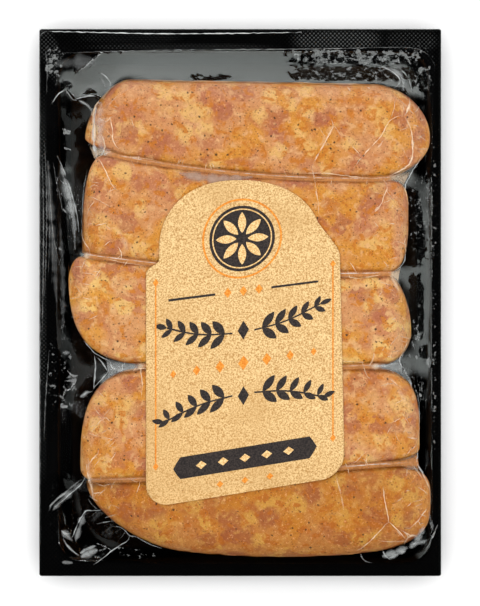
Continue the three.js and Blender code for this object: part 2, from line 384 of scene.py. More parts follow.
def film_limit(x, y):
    """The height that the film can't go below."""
    gx, gy = np.meshgrid(x, y)
    highest = tray_top(gx, gy)
    line = np.array(RIDGE, float)
    away, along = line_field(line[:, :2], gx, gy)
    ridge = np.interp(along, line_shares(line[:, :2]), line[:, 2])
    near = away < max(RIDGE_HALF_WIDTH, x[1] - x[0])
    highest = np.where(near, np.maximum(highest, ridge), highest)
    return np.maximum(highest, highest_sausage(gx, gy)) + FILM_CLEARANCE


def settle(heights, limit, x, y, passes):
    """Each point moves to its neighbours' mean, less the vacuum's pull, above the limit.

    The film is sealed to the flange, and taut from the sausages to it at the top and right.
    """
    gx, gy = np.meshgrid(x[1:-1], y[1:-1])
    free = inside_mouth(gx, gy) > 0
    taut = np.maximum(smooth_step(*TAUT_UP, gy), smooth_step(*TAUT_RIGHT, gx))
    pull = mix(FILM_CURVE, TAUT_CURVE, taut) * (x[1] - x[0]) ** 2 / 4
    inner = (slice(1, -1), slice(1, -1))
    for _ in range(passes):
        sides = heights[1:-1, :-2] + heights[1:-1, 2:]
        ends = heights[:-2, 1:-1] + heights[2:, 1:-1]
        mean = (sides + ends) / 4
        heights[inner] = np.where(free, np.maximum(limit[inner], mean - pull), limit[inner])
    return heights


def resample(heights, old_x, old_y, x, y):
    rows = np.array([np.interp(x, old_x, line) for line in heights])
    return np.array([np.interp(y, old_y, line) for line in rows.T]).T


def draped_film():
    """The film's heights on its grid, settled on ever finer grids."""
    heights = None
    for cell, passes in SETTLING:
        x, y = film_grid(cell)
        limit = film_limit(x, y)
        if heights is None:
            heights = limit.copy()
        else:
            heights = np.maximum(resample(heights, old_x, old_y, x, y), limit)
        heights = settle(heights, limit, x, y, passes)
        old_x, old_y = x, y
    return x, y, heights, limit


# Parts of the film: a middle, two half sizes, a turn in degrees and a share from 0 to 1.
# Where it is stuck flat to the tray, in islands where the share is under 1
STUCK = (
    (-60.9, 78.8, 2, 3.9, 0, 0.75),
    (-48.6, 79.1, 1.1, 1.5, 0, 0.8),
    (-60.9, 63, 2.9, 7.2, 0, 1),
    (-53.8, 61.7, 3.2, 2.6, 0, 0.55),
    (-48.6, 81.4, 9.8, 0.8, 0, 0.6),
    (39.4, 79.8, 23.4, 2.6, 0, 0.84),
    (35.5, 74, 18.9, 2.6, 0, 0.96),
    (-9.8, 72.7, 6.5, 1.3, 0, 0.75),
    (19.3, 78.5, 5.2, 2.9, 0, 0.6),
    (58.8, 76.6, 4.2, 7.8, 0, 0.95),
    (61.4, 61.7, 2, 23.4, 0, 0.95),
    (56.6, 24.8, 3.2, 12.3, 8, 1),
    (56.9, -1.1, 2.6, 11.1, 0, 1),
    (59.5, -16, 1.6, 2.3, 0, 1),
    (59.8, -40.6, 2.9, 7.8, 0, 1),
    (62.7, 0.8, 0.4, 48.8, 0, 1),
    (60.8, -63.9, 2.6, 11.1, 0, 1),
    (53.3, 13.1, 5.9, 1.3, -10, 0.8),
    (-56.4, -46.1, 5.2, 11.1, -8, 1),
    (-49.3, 49.4, 3.9, 8.5, 10, 1),
    (-57.7, 20.2, 2, 19.5, 6, 1),
    (-48.6, 4, 2.6, 9.8, 0, 1),
    (-50.2, 78.4, 5.8, 1.3, 40, 1),
)
# Where fine drops and bubbles lie under it, and where pale dots and blots are painted as their reflection
DAMP_AND_REFLECTION = (
    (-57.6, -23.5, 5.2, 12.3, 0, 0.25),
    (-57.7, -3.1, 2, 8.5, 0, 0.2),
    (-38.3, -80.8, 11.1, 1.6, -8, 0.35),
    (-29.2, 75.3, 19.5, 2.6, 0, 0.1),
    (59.5, 76.6, 3.2, 9.1, 0, 0.4),
    (58.5, 28.6, 3.9, 14.3, 0, 0.3),
    (55.6, -18.6, 4.5, 20.2, 0, 0.3),
    (39.4, 79.8, 22.1, 2.6, 0, 0.9),
    (35.5, 74, 17.6, 2.3, 0, 0.55),
    (63.1, 0.8, 0.7, 52, 0, 0.35),
    (-55.1, -67.2, 7.2, 9.8, 0, 0.1),
    (-60.3, 78.5, 2.9, 4.9, 0, 0.75),
)
# Where the flange's knurl stands out, in deeper relief and with painted highlights on its tops
KNURL_AND_HIGHLIGHTS = (
    (31.6, 85.3, 14.3, 2.9, 0, 1),
    (-61.6, 81.1, 3.2, 11.1, 24, 0.55),
    (55.6, 85, 8.5, 2.9, 0, 0.55),
    (-64.3, 17, 1.3, 48.8, 0, 0.6),
    (-64.2, -38, 1.3, 19.5, 0, 0.3),
    (-19.5, 83, 29.2, 1, 0, 0.5),
    (-35.7, 86.3, 16.2, 2, 0, 0.25),
)
# Where each part ends and where it is full, as shares of its half sizes
PATCH_EDGE = (1.2, 0.75)


def patches(parts, gx, gy):
    """The share at each place of the strongest rounded rectangle that it lies in."""
    share = np.zeros(gx.shape)
    for x, y, half_x, half_y, turn, most in parts:
        turn = math.radians(turn)
        along = (gx - x) * math.cos(turn) + (gy - y) * math.sin(turn)
        across = (gy - y) * math.cos(turn) - (gx - x) * math.sin(turn)
        away = ((along / half_x) ** 4 + (across / half_y) ** 4) ** 0.25
        share = np.maximum(share, most * smooth_step(*PATCH_EDGE, away))
    return share


# The film's creases and tucks, which lift the film and are drawn as painted highlight strips: width in
# millimetres, paleness of the painted highlight, and places along each

FOLDS = (
    (0.5, 0.7, [(-61.1, 64.5), (-59.8, 66.7), (-58.2, 68), (-56.3, 68.7)]),
    (0.5, 0.7, [(-56.3, 68.7), (-55, 66.7), (-54, 65.4), (-52.7, 65.1)]),
    (0.45, 0.6, [(-54, 65.4), (-51.1, 66.1), (-48.5, 66.7), (-46.3, 66.4), (-45, 65.1)]),
    (1.6, 0.35, [(-52.1, 65.1), (-49.8, 64.1), (-47.9, 62.2), (-47.9, 60.3)]),
    (1.4, 0.7, [(-45.6, 64.8), (-46.9, 62.8), (-47.6, 59.6), (-46.6, 55.7), (-47.2, 52.5),
        (-47.2, 49.3), (-46, 46.4)]),
    (0.55, 0.75, [(-41.8, 59.6), (-41.4, 57.3), (-40.8, 54.8), (-41.1, 52.5), (-39.8, 49.9),
        (-38.8, 49.3)]),
    (0.35, 0.5, [(-45.6, 58), (-44, 59), (-42.1, 59.3)]),
    (0.6, 0.55, [(-45, 55.1), (-44, 52.5), (-43.4, 50.2), (-44, 48), (-45.6, 46.7)]),
    (0.5, 0.6, [(-39.2, 47), (-41.4, 48.6), (-43.4, 47.7), (-45.6, 46.7)]),
    (0.4, 0.35, [(-34.6, 69.3), (-38.2, 67.4), (-41.1, 64.8), (-43.4, 62.2)]),
    (0.4, 0.3, [(-35.3, 59.6), (-34.3, 57), (-34, 55.4)]),
    (0.4, 0.55, [(-47.2, 73.5), (-44.7, 72.2), (-43.7, 69.9), (-43.4, 68.3)]),
    (0.35, 0.6, [(-46.3, 74.5), (-43.7, 73.5), (-42.1, 71.6), (-41.8, 69.6)]),
    (0.45, 0.65, [(-45.6, 46.4), (-44.3, 44.4), (-43, 41.8), (-42.1, 39.6), (-40.8, 37), (-38.5, 35.4)]),
    (0.3, 0.5, [(-41.1, 37.3), (-41.8, 36), (-41.8, 34.7)]),
    (0.45, 0.4, [(-44, 47.7), (-39.8, 47), (-34, 46.7), (-29.2, 46), (-24.3, 44.7)]),
    (0.35, 0.4, [(-49.2, 42.8), (-49.8, 40.2), (-50.5, 35.7), (-50.8, 29.9), (-51.1, 24.7)]),
    (0.5, 0.75, [(-51.1, 23.4), (-50.8, 20.2), (-49.5, 18.6), (-48.5, 17), (-48.2, 15.7)]),
    (0.4, 0.5, [(-48.2, 15.7), (-49.2, 14.4), (-50.2, 13.1), (-51.1, 10.5)]),
    (0.45, 0.45, [(-48.2, 15.7), (-46.3, 15), (-43.7, 14.4), (-41.1, 13.7), (-38.2, 12.8),
        (-34, 12.4), (-29.2, 11.5)]),
    (0.45, 0.65, [(-40.1, 18.9), (-38.8, 17.3), (-37.9, 15.3), (-38.5, 13.4)]),
    (0.4, 0.55, [(-38.2, 15.3), (-39.5, 14.1), (-40.8, 13.4)]),
    (0.6, 0.5, [(-59.5, 47.7), (-57.9, 44.4), (-56.3, 40.2), (-54.7, 35.7), (-53.4, 31.2),
        (-52.4, 26.7), (-52.1, 22.8)]),
    (2.2, 0.22, [(-58.6, 46), (-56.9, 40.2), (-55.3, 34.7), (-54.4, 29.9), (-53.7, 23.4), (-53.4, 17)]),
    (0.5, 0.18, [(-62.4, 44.4), (-61.8, 36.3), (-61.5, 28.3), (-60.5, 20.2), (-59.5, 15.3),
        (-57.9, 10.5)]),
    (0.45, 0.16, [(-60.8, 45.4), (-59.8, 39.6), (-58.6, 34.7), (-57.6, 29.2)]),
    (1, 0.35, [(-57.6, 30.5), (-56.3, 28.9)]),
    (0.5, 0.5, [(-55.3, 28.6), (-55, 26.7)]),
    (1, 0.3, [(-58.9, 17.9), (-58.2, 17)]),
    (0.8, 0.55, [(29.3, 58.6), (30, 56.7), (29, 54.8), (27.7, 52.5), (26.4, 49.9), (25.1, 47.7),
        (23.8, 45.4), (22.9, 43.5)]),
    (0.4, 0.5, [(30, 56.7), (31.3, 55.1), (32.2, 53.5)]),
    (0.7, 0.45, [(22.9, 43.5), (23.5, 41.2), (24.1, 38), (24.5, 34.7), (25.1, 31.5), (25.1, 28.9)]),
    (0.35, 0.35, [(24.8, 56.7), (26.4, 54.4), (27.7, 52.8)]),
    (1.1, 0.75, [(54.5, 65.7), (54.5, 63.5), (53.5, 61.2), (52.9, 59.9)]),
    (0.5, 0.65, [(53.5, 60.6), (51, 59.9), (48.7, 59), (47.4, 57.7), (45.8, 54.4), (44.5, 52.5),
        (42.6, 50.6), (38.7, 46.4), (36.1, 42.5)]),
    (0.4, 0.4, [(49.7, 66.4), (49.7, 64.1), (49.3, 61.9), (48.1, 58.6)]),
    (0.75, 0.75, [(52.9, 59.6), (54.2, 57.3), (55.2, 54.4), (55.5, 50.9), (55.5, 47.3), (54.8, 45.1),
        (52.9, 43.1), (50.3, 41.8), (47.7, 40.5), (46.1, 39.3)]),
    (0.5, 0.6, [(46.1, 39.3), (47.1, 37.6), (47.1, 36.3), (46.1, 34.4), (45.5, 32.1), (44.5, 30.5),
        (43.2, 28.9)]),
    (1.4, 0.45, [(44.5, 30.9), (43.2, 29.2)]),
    (0.35, 0.4, [(47.4, 36.3), (48.7, 34.7), (49.7, 32.8)]),
    (0.4, 0.5, [(35.5, 50.6), (37.1, 48.9), (38, 47.7), (38.7, 46)]),
    (1, 0.4, [(45.8, 51.9), (44.2, 49.6)]),
    (0.5, 0.6, [(60.3, 49.9), (58.4, 46.7), (56.1, 43.5), (54.5, 40.5), (53.2, 38.3), (52.9, 36.7),
        (53.5, 34.4), (54.2, 31.5)]),
    (0.5, 0.5, [(18, 41.5), (23.2, 41.5), (27.4, 41.5), (32.2, 40.9), (37.1, 40.2), (41.9, 39.9),
        (46.1, 39.3)]),
    (0.35, 0.5, [(52.3, 64.1), (52.6, 61.5), (52.9, 59.6)]),
    (0.8, 0.6, [(34.2, 69.6), (35.5, 67.7)]),
    (0.6, 0.45, [(40.6, 69.3), (41.9, 68.7)]),
    (0.45, 0.5, [(52.6, 23.4), (52.9, 20.2), (53.2, 16.3), (52.9, 13.1), (51, 11.1), (49, 9.9)]),
    (0.5, 0.5, [(32.2, 8.2), (35.5, 8.2), (38, 7.6), (40.6, 8.2), (45.1, 8.9), (49, 9.9)]),
    (0.45, 0.55, [(35.1, 13.1), (36.4, 11.1), (37.7, 8.9)]),
    (2.6, 0.5, [(47.7, 9.2), (49.3, 7.3), (50.6, 3.7)]),
    (0.5, 0.65, [(-50.2, -12.4), (-47.9, -15.3), (-46.3, -16.6), (-44.3, -17.6), (-41.8, -18.9)]),
    (0.8, 0.55, [(-46.9, -17.3), (-46.6, -20.2), (-46.9, -23.4), (-47.2, -27.9)]),
    (0.7, 0.5, [(-46.3, -17.3), (-44.3, -19.5), (-43, -21.5), (-42.4, -22.8)]),
    (0.5, 0.55, [(-41.8, -18.9), (-41.4, -20.5), (-40.5, -22.1)]),
    (0.55, 0.65, [(-42.4, -22.1), (-44, -24.1), (-45.6, -25.7), (-47.2, -27.6)]),
    (2, 0.3, [(-41.4, -20.8), (-38.8, -21.8), (-35.6, -21.5), (-31.7, -21.2)]),
    (0.5, 0.55, [(-33.7, -20.8), (-31.7, -21.2), (-29.5, -21.2)]),
    (0.45, 0.5, [(-30.1, -18.6), (-31.4, -20.2), (-32.1, -21.8), (-31.4, -24.4), (-31.4, -27.6),
        (-31.7, -30.5)]),
    (0.4, 0.5, [(-48.2, -42.2), (-46.6, -39.9), (-45, -38), (-42.7, -36.7)]),
    (0.4, 0.3, [(-44.3, -46.4), (-42.7, -45.1), (-41.1, -43.8), (-39.2, -42.5)]),
    (0.5, 0.6, [(-45.6, -47), (-45.6, -48.6), (-46.9, -49.6), (-48.2, -51.2), (-49.2, -53.1)]),
    (1, 0.55, [(-49.5, -51.9), (-49.2, -54.8), (-48.5, -57.3), (-47.9, -60.6), (-47.6, -63.2)]),
    (0.45, 0.65, [(-49.5, -55.4), (-50.5, -57.3), (-51.8, -59.3), (-53.4, -60.6), (-55.6, -62.5),
        (-58.2, -64.8), (-60.2, -66.4)]),
    (1.1, 0.3, [(-51.4, -57.3), (-54.4, -59.6), (-56.9, -61.9), (-59.5, -63.8), (-61.5, -65.7),
        (-62.1, -67.7)]),
    (0.35, 0.5, [(-36.3, -56.4), (-34.6, -57), (-32.7, -57.7)]),
    (0.45, 0.6, [(-44, -66.7), (-46.9, -67.4), (-49.8, -67.4), (-51.1, -68.7), (-52.4, -70.9),
        (-54, -74.8), (-55.3, -77.7)]),
    (0.5, 0.4, [(-49.2, -63.5), (-48.2, -65.4), (-46.3, -66.7)]),
    (0.8, 0.4, [(-58.2, -74.1), (-56.9, -75.4), (-55, -75.1)]),
    (0.9, 0.35, [(-57.6, -76.7), (-56.3, -79), (-54.4, -80.9), (-52.4, -82.2)]),
    (1.8, 0.4, [(-52.1, -81.6), (-50.2, -80.3), (-47.2, -79.3)]),
    (2.4, 0.25, [(-57.9, -84.5), (-54.4, -84.5)]),
    (0.45, 0.6, [(-47.6, -85.1), (-44.7, -83.2), (-42.1, -80.9), (-38.8, -78.7), (-36.3, -77.1),
        (-35.6, -75.1)]),
    (0.5, 0.4, [(-46.6, -71.9), (-44, -71.2), (-41.8, -70.6), (-39.8, -70.3)]),
    (0.5, 0.35, [(-41.4, -72.5), (-38.8, -72.2), (-37.2, -73.5), (-35.6, -75.4), (-33.7, -75.4),
        (-31.7, -76.7), (-29.2, -78), (-25.3, -79.3)]),
    (1.1, 0.3, [(-51.8, -30.5), (-49.8, -29.2), (-47.6, -28.6)]),
    (2.8, 0.28, [(-57.6, -16.3), (-55.3, -16.3)]),
    (0.6, 0.15, [(-62.1, -15.3), (-62.8, -25), (-63.4, -34.7), (-63.7, -44.4)]),
    (0.5, 0.6, [(55.2, -10.5), (53.2, -14.1), (51.6, -17), (51, -18.6), (51.9, -20.5), (52.6, -22.8)]),
    (1.3, 0.35, [(50.3, -19.2), (47.7, -20.2), (44.5, -20.5), (40.9, -20.8)]),
    (0.6, 0.45, [(40.9, -20.8), (42.6, -18.6), (42.9, -15.7)]),
    (0.45, 0.5, [(39, -18.9), (40, -21.8), (40.6, -23.7), (41.9, -24.7)]),
    (0.4, 0.55, [(32.9, -18.9), (36.1, -18.9), (39.7, -19.2)]),
    (1.2, 0.4, [(52.3, -20.5), (53.5, -23.1), (54.8, -25.4), (55.2, -28.3)]),
    (0.4, 0.4, [(57.1, -28.9), (57.7, -34.7), (57.7, -39.6), (57.4, -43.5), (56.8, -45.7)]),
    (0.9, 0.5, [(54.5, -43.5), (57.1, -43.8)]),
    (0.7, 0.55, [(57.1, -45.7), (57.1, -49.3), (56.8, -51.5), (58.1, -53.8), (59.7, -57), (61, -59.9),
        (61.6, -63.2), (61.3, -65.7)]),
    (0.45, 0.55, [(61, -65.1), (59, -67.7), (57.1, -70.3), (54.5, -72.5)]),
    (0.5, 0.45, [(33.2, -52.2), (38.7, -52.2), (43.5, -51.9), (48.4, -51.9), (51.6, -51.5),
        (56.5, -51.5)]),
    (0.4, 0.45, [(40, -48), (38, -50.2), (35.8, -51.9)]),
    (0.5, 0.5, [(53.9, -52.2), (53.5, -54.8), (53.2, -57)]),
    (0.45, 0.5, [(54.8, -51.5), (56.8, -54.1), (58.7, -56.7)]),
    (0.55, 0.7, [(45.8, -59), (46.1, -62.2), (46.8, -65.4), (47.4, -68.7), (47.7, -70.6)]),
    (0.55, 0.65, [(47.7, -70.3), (45.5, -72.5), (43.2, -75.1), (40.9, -77.4), (39, -79), (37.4, -80)]),
    (0.5, 0.65, [(47.7, -70.3), (50, -72.5), (51.9, -74.5), (53.2, -76.1)]),
    (0.45, 0.55, [(52.6, -73.8), (54.2, -75.1), (53.2, -76.7), (52.6, -78.7)]),
    (0.5, 0.55, [(53.5, -75.8), (55.8, -75.1), (58.4, -75.4)]),
    (0.6, 0.4, [(44.8, -76.4), (48.4, -77.1), (51.6, -76.7), (53.5, -77.1)]),
    (0.8, 0.3, [(30.6, -55.4), (31.6, -59), (32.5, -62.2), (33.2, -66.7)]),
    (3, 0.5, [(48.1, -83.2), (50.3, -81.6), (53.5, -80.3)]),
    (3, 0.35, [(55.5, -78.3), (58.1, -77.7), (61, -77.1)]),
    (0.5, 0.4, [(38.7, -80.9), (40, -83.8), (42.6, -84.5)]),
    (0.5, 0.5, [(45.8, -79.6), (47.1, -82.2), (49, -83.8)]),
    (0.8, 0.35, [(64.2, -72.2), (62.6, -75.8), (61.3, -78.7), (60, -80.9)]),
    (2.2, 0.25, [(61, -17.6), (61.3, -21.5)]),
    (1.2, 0.35, [(57.7, -29.2), (58.4, -30.5)]),
    (1.6, 0.25, [(60.7, -67), (61.6, -70.3), (62.6, -74.1)]),
    (0.45, 0.7, [(45.7, 76.5), (48.9, 75), (51.9, 72.6), (51.3, 70.5), (49.6, 69.1)]),
    (0.45, 0.5, [(50.6, 76.5), (53, 74.8), (54.5, 72.3), (55.2, 70.2), (55.5, 68.1)]),
)
# Fine lines of light along the flange and down the left wall, given like the folds
RIM_LINES = (
    (0.3, 0.35, [(-58, 81), (-40, 81.8), (0, 82.2), (30, 82.4), (50, 83), (57, 82.8), (61.5, 80.5),
        (63.3, 77)]),
    (0.5, 0.95, [(-65, 86.6), (-64.4, 87.4), (-63.4, 88.1), (-60, 88), (-45, 87.7), (-26, 87.3),
        (-5, 87.4), (20, 87.8)]),
    (0.3, 0.24, [(-65, 80), (-65.1, 40), (-65.1, 0), (-65, -40), (-64.9, -80)]),
    (0.5, 0.19, [(-64.4, 48), (-64, 36), (-63.9, 22), (-64.1, 6), (-64.4, -12)]),
    (0.5, 0.16, [(-63.6, 52), (-63, 40), (-62.8, 28), (-63.1, 14), (-63.6, 2)]),
    (0.4, 0.14, [(-62.6, 40), (-62, 30), (-61.9, 20), (-62.4, 8)]),
    (0.4, 0.13, [(-61.6, 34), (-61, 24), (-60.9, 14), (-61.3, 6)]),
    (0.6, 0.1, [(-63.4, 84), (-62.6, 76), (-63, 68)]),
)
# How high a fold lifts the film, the share of it where the film is taut, how far around it
# the film is looked at, and how many rounds it then settles
FOLD_LIFT = 0.8
TAUT_LIFT = 0.25
FOLD_REACH = 4
FOLD_ROUNDS = 60
# How high above what is below it the film starts to be slack or loose, and is wholly so
SLACK = (0.3, 1.5)
LOOSE = (0.2, 1.2)
LOOSE_INSIDE = 2
# The ripples of loose film, and how much calmer they are above CALM_UP, left of CALM_LEFT
# and right of CALM_RIGHT
RIPPLE_HEIGHT = 0.2
FINE_RIPPLE_HEIGHT = 0.03
CALM = 0.95
CALM_UP = (70, 73)
CALM_LEFT = (24, 10)
CALM_RIGHT = (-58, -48)
# How warm the tint of the painted light strips is: clear, mauve, warm with the meat below, brown where a
# seam's shaded valley is painted over in meat colour, and dark for the painted shade of its deepest line
CLEAR = 0
MAUVE = 0.25
GLOW = 0.5
BROWN = 0.75
SEAM_SHADE = 1
# Broad pale strips painted as the reflection on slack film: width, paleness, warmth and places
PAINTED_REFLECTIONS = (
    (5.4, 0.9, MAUVE, [(-19.5, 41.4), (-14, 40.3), (-8, 39.6), (-2, 39.6), (4, 40.4)]),
    (2.2, 0.5, CLEAR, [(-46.4, 63), (-47.3, 57), (-47.2, 51.5), (-46, 47)]),
    (5, 0.22, CLEAR, [(-44.8, 64.5), (-45.4, 58), (-45.2, 52), (-43.8, 47.6)]),
    (2, 0.3, GLOW, [(-48.9, -50), (-48.7, -55), (-48, -60), (-47, -64)]),
    (3, 0.22, GLOW, [(-40, 24), (-37, 20), (-36, 16)]),
    (2.6, 0.2, GLOW, [(48, -24), (51, -28), (54, -34)]),
    (3, 0.3, CLEAR, [(46.7, 76.2), (50.9, 74.6), (52.9, 71.7), (52.6, 68.4)]),
    (4, 0.3, CLEAR, [(-58.4, 44.5), (-56.4, 37.5), (-54.6, 30.5), (-53, 23.5)]),
    (3.6, 0.09, CLEAR, [(-62.5, 46), (-61.6, 30), (-60.6, 15), (-59.6, 0)]),
    (2.6, 0.08, CLEAR, [(-58.6, 26), (-57.6, 12), (-57.2, 0), (-57.6, -10)]),
    (3.2, 0.34, CLEAR, [(-57.8, -74.2), (-56.2, -76), (-54.6, -77.6)]),
    (3.8, 0.38, CLEAR, [(-51.8, -82.8), (-49.3, -81.5), (-46.4, -80.4)]),
    (2.6, 0.28, CLEAR, [(-50.2, -67.5), (-52, -72), (-53.6, -78)]),
    (3.2, 0.24, CLEAR, [(-51.3, -58.5), (-56, -62.5), (-61, -67.5)]),
    (2.4, 0.3, CLEAR, [(-51.4, -30.6), (-50.3, -29.6), (-49.2, -28.6)]),
    (4.4, 0.42, CLEAR, [(46, -82.2), (50, -80.8), (54, -79.2)]),
    (4, 0.36, CLEAR, [(54.8, -79.6), (57.5, -76.4), (59.3, -72)]),
    (8, 0.1, CLEAR, [(-60.5, 77.4), (-56, 77.8), (-52, 78), (-47, 78.2)]),
)
# A seam's least half width, and the gaps between sausages at which it is closed and open
SEAM_HALF_WIDTH = 1.1
SEAM_CLOSED = 0.4
SEAM_OPEN = 1.5
# Each seam's left and right sides: how pale and how warm the painted reflection is on the film that spans
# the open end, and how strong the painted pale highlight line and the painted dark shade line are in the
# closed seam
SEAM_SIDES = (
    ((0.4, GLOW, 0.4, 0.95), (0.08, CLEAR, 0.85, 0.5)),
    ((0.25, CLEAR, 0.8, 0.4), (0.6, GLOW, 0.75, 0.35)),
    ((0.3, CLEAR, 0.3, 0.3), (0.3, CLEAR, 0.3, 0.3)),
    ((0.25, CLEAR, 0.25, 0.5), (0.8, BROWN, 0.6, 0.35)),
)
# The painted pale highlight line and the painted dark shade line: offset, half width and warmth
SEAM_LINES = ((0.28, 0.34, CLEAR), (-0.2, 0.26, SEAM_SHADE))
# How strongly the closed seam's shaded valley is painted over in meat-brown
SEAM_PALENESS = 0.8
# A web's widest gap, its fewest places, how far it stays from the sausages' tips, how far
# its places are apart, and how far it goes under each sausage and under the label
WIDEST_WEB = 7
SHORTEST_WEB = 4
TIP_MARGIN = 0.6
WEB_STEP = 0.7
WEB_OVERLAP = 0.25
TUCK = 1.5
# How far the strips stay inside the pack's edge and above the film, and how they are bowed
EDGE = 0.05
STRIP_LIFT = 0.05
STRIP_BOW = 0.12
# How softly the strips end at their sides; those wider than SOFT_FROM to each side are broad painted
# highlights and reflections
LINE_SOFTNESS = 0.5
WEB_SOFTNESS = 0.9
BROAD_SOFTNESS = 1.6
SOFT_FROM = 0.7
CREASE_STEP = 0.4
SHAKE = 0.06
WRINKLES = 16
SHAKES = wave_set(12, 2.2)
RIPPLES = wave_set(7, 9)
FINE_RIPPLES = wave_set(8, 3.5)


def fold_film(x, y, heights, limit):
    """Lifts the film along its creases, lets it settle from them and ripples it."""
    gx, gy = np.meshgrid(x, y)
    folded = limit.copy()
    slack = smooth_step(*SLACK, heights - limit)
    for width, _, points in FOLDS:
        line = smooth_line(points, 2)
        low, high = line.min(axis=0) - FOLD_REACH, line.max(axis=0) + FOLD_REACH
        columns = slice(*np.searchsorted(x, (low[0], high[0])))
        rows = slice(*np.searchsorted(y, (low[1], high[1])))
        here = (rows, columns)
        away, along = line_field(line, gx[here], gy[here])
        taper = np.sin(math.pi * np.clip(along, 0.02, 0.98)) ** 0.6
        lift = FOLD_LIFT * min(1, width + 0.2) * taper * mix(TAUT_LIFT, 1, slack[here])
        ridge = np.where(away < max(0.4, width / 2), heights[here] + lift, 0)
        folded[here] = np.maximum(folded[here], ridge)
    heights = settle(np.maximum(heights, folded), folded, x, y, FOLD_ROUNDS)
    loose = smooth_step(*LOOSE, heights - limit) * smooth_step(0, LOOSE_INSIDE, inside_mouth(gx, gy))
    broad = RIPPLE_HEIGHT * waves(gx, gy, 0, RIPPLES)
    ripple = broad + FINE_RIPPLE_HEIGHT * waves(gx, gy, 0, FINE_RIPPLES)
    calm = smooth_step(*CALM_UP, gy) * smooth_step(*CALM_LEFT, gx) * smooth_step(*CALM_RIGHT, gx)
    return np.maximum(limit, heights + loose * (1 - CALM * calm) * ripple), loose


FILM_X, FILM_Y, FILM_SMOOTH, FILM_LIMIT = draped_film()
FILM_HEIGHTS, FILM_LOOSE = fold_film(FILM_X, FILM_Y, FILM_SMOOTH, FILM_LIMIT)


def film_level(levels, x, y):
    """The film's height over each place, from the levels on its grid."""
    column = np.clip((x - FILM_X[0]) / (FILM_X[1] - FILM_X[0]), 0, len(FILM_X) - 1.001)
    row = np.clip((y - FILM_Y[0]) / (FILM_Y[1] - FILM_Y[0]), 0, len(FILM_Y) - 1.001)
    c = column.astype(int)
    r = row.astype(int)
    low = mix(levels[r, c], levels[r, c + 1], column - c)
    high = mix(levels[r + 1, c], levels[r + 1, c + 1], column - c)
    return mix(low, high, row - r)


def mark(piece, name, values):
    """Gives each point of a piece a number that its material reads."""
    layer = piece.data.attributes.new(name, "FLOAT", "POINT")
    layer.data.foreach_set("value", np.asarray(values, float).reshape(-1))


def film_piece():
    gx, gy = np.meshgrid(FILM_X, FILM_Y)
    points = np.stack([gx, gy, FILM_HEIGHTS], axis=-1).reshape(-1, 3)
    piece = new_mesh("film_sheet", points, grid_faces(len(FILM_Y), len(FILM_X)).tolist())
    meat = highest_sausage(gx, gy) > 0
    on_flange = smooth_step(0.3, -0.5, inside_mouth(gx, gy))
    mark(piece, "cling", meat * (1 - FILM_LOOSE))
    mark(piece, "flange", on_flange * mix(0.2, 1, patches(KNURL_AND_HIGHLIGHTS, gx, gy)))
    mark(piece, "stuck", patches(STUCK, gx, gy))
    mark(piece, "damp_and_reflection", patches(DAMP_AND_REFLECTION, gx, gy) * (1 - meat))
    return piece


def ribbon(line, half_widths, columns=7):
    """Places across a strip along a line, as rows, and each column's share across."""
    ahead = np.gradient(line, axis=0)
    ahead /= np.maximum(np.linalg.norm(ahead, axis=1, keepdims=True), 1e-9)
    side = np.stack([-ahead[:, 1], ahead[:, 0]], axis=1)
    across = np.linspace(-1, 1, columns)
    reach = half_widths[:, None, None] * across[None, :, None]
    return line[:, None, :] + side[:, None, :] * reach, across


def join_grids(name, grids):
    """One mesh from several grids of points in rows."""
    points, faces, count = [], [], 0
    for grid in grids:
        rows, columns = grid.shape[:2]
        points.append(grid.reshape(-1, 3))
        faces += (grid_faces(rows, columns) + count).tolist()
        count += rows * columns
    return new_mesh(name, np.vstack(points), faces)


def crumple(points):
    """A creased line: nearly straight runs between bends, shaken a little."""
    line = smooth_line(points, 1)
    shares = line_shares(line)
    length = np.linalg.norm(np.diff(line, axis=0), axis=1).sum()
    places = np.linspace(0, 1, max(6, round(length / CREASE_STEP)))
    x, y = (np.interp(places, shares, line[:, axis]) for axis in (0, 1))
    shake = np.stack([waves(x, y, 0, SHAKES), waves(x, y, 9, SHAKES)], axis=1)
    return np.stack([x, y], axis=1) + SHAKE * shake


def clear_of_label(points, margin=1.0):
    """Whether no point is under the label or within a margin of it."""
    x, y = np.asarray(points, float).T
    level = y - SLANT * x
    left, right = label_span(level)
    beside = (x < left - margin) | (x > right + margin)
    past = (level < BODY["bottom"] - margin) | (level > ARCH["crown"] + margin)
    return bool(np.all(beside | past))


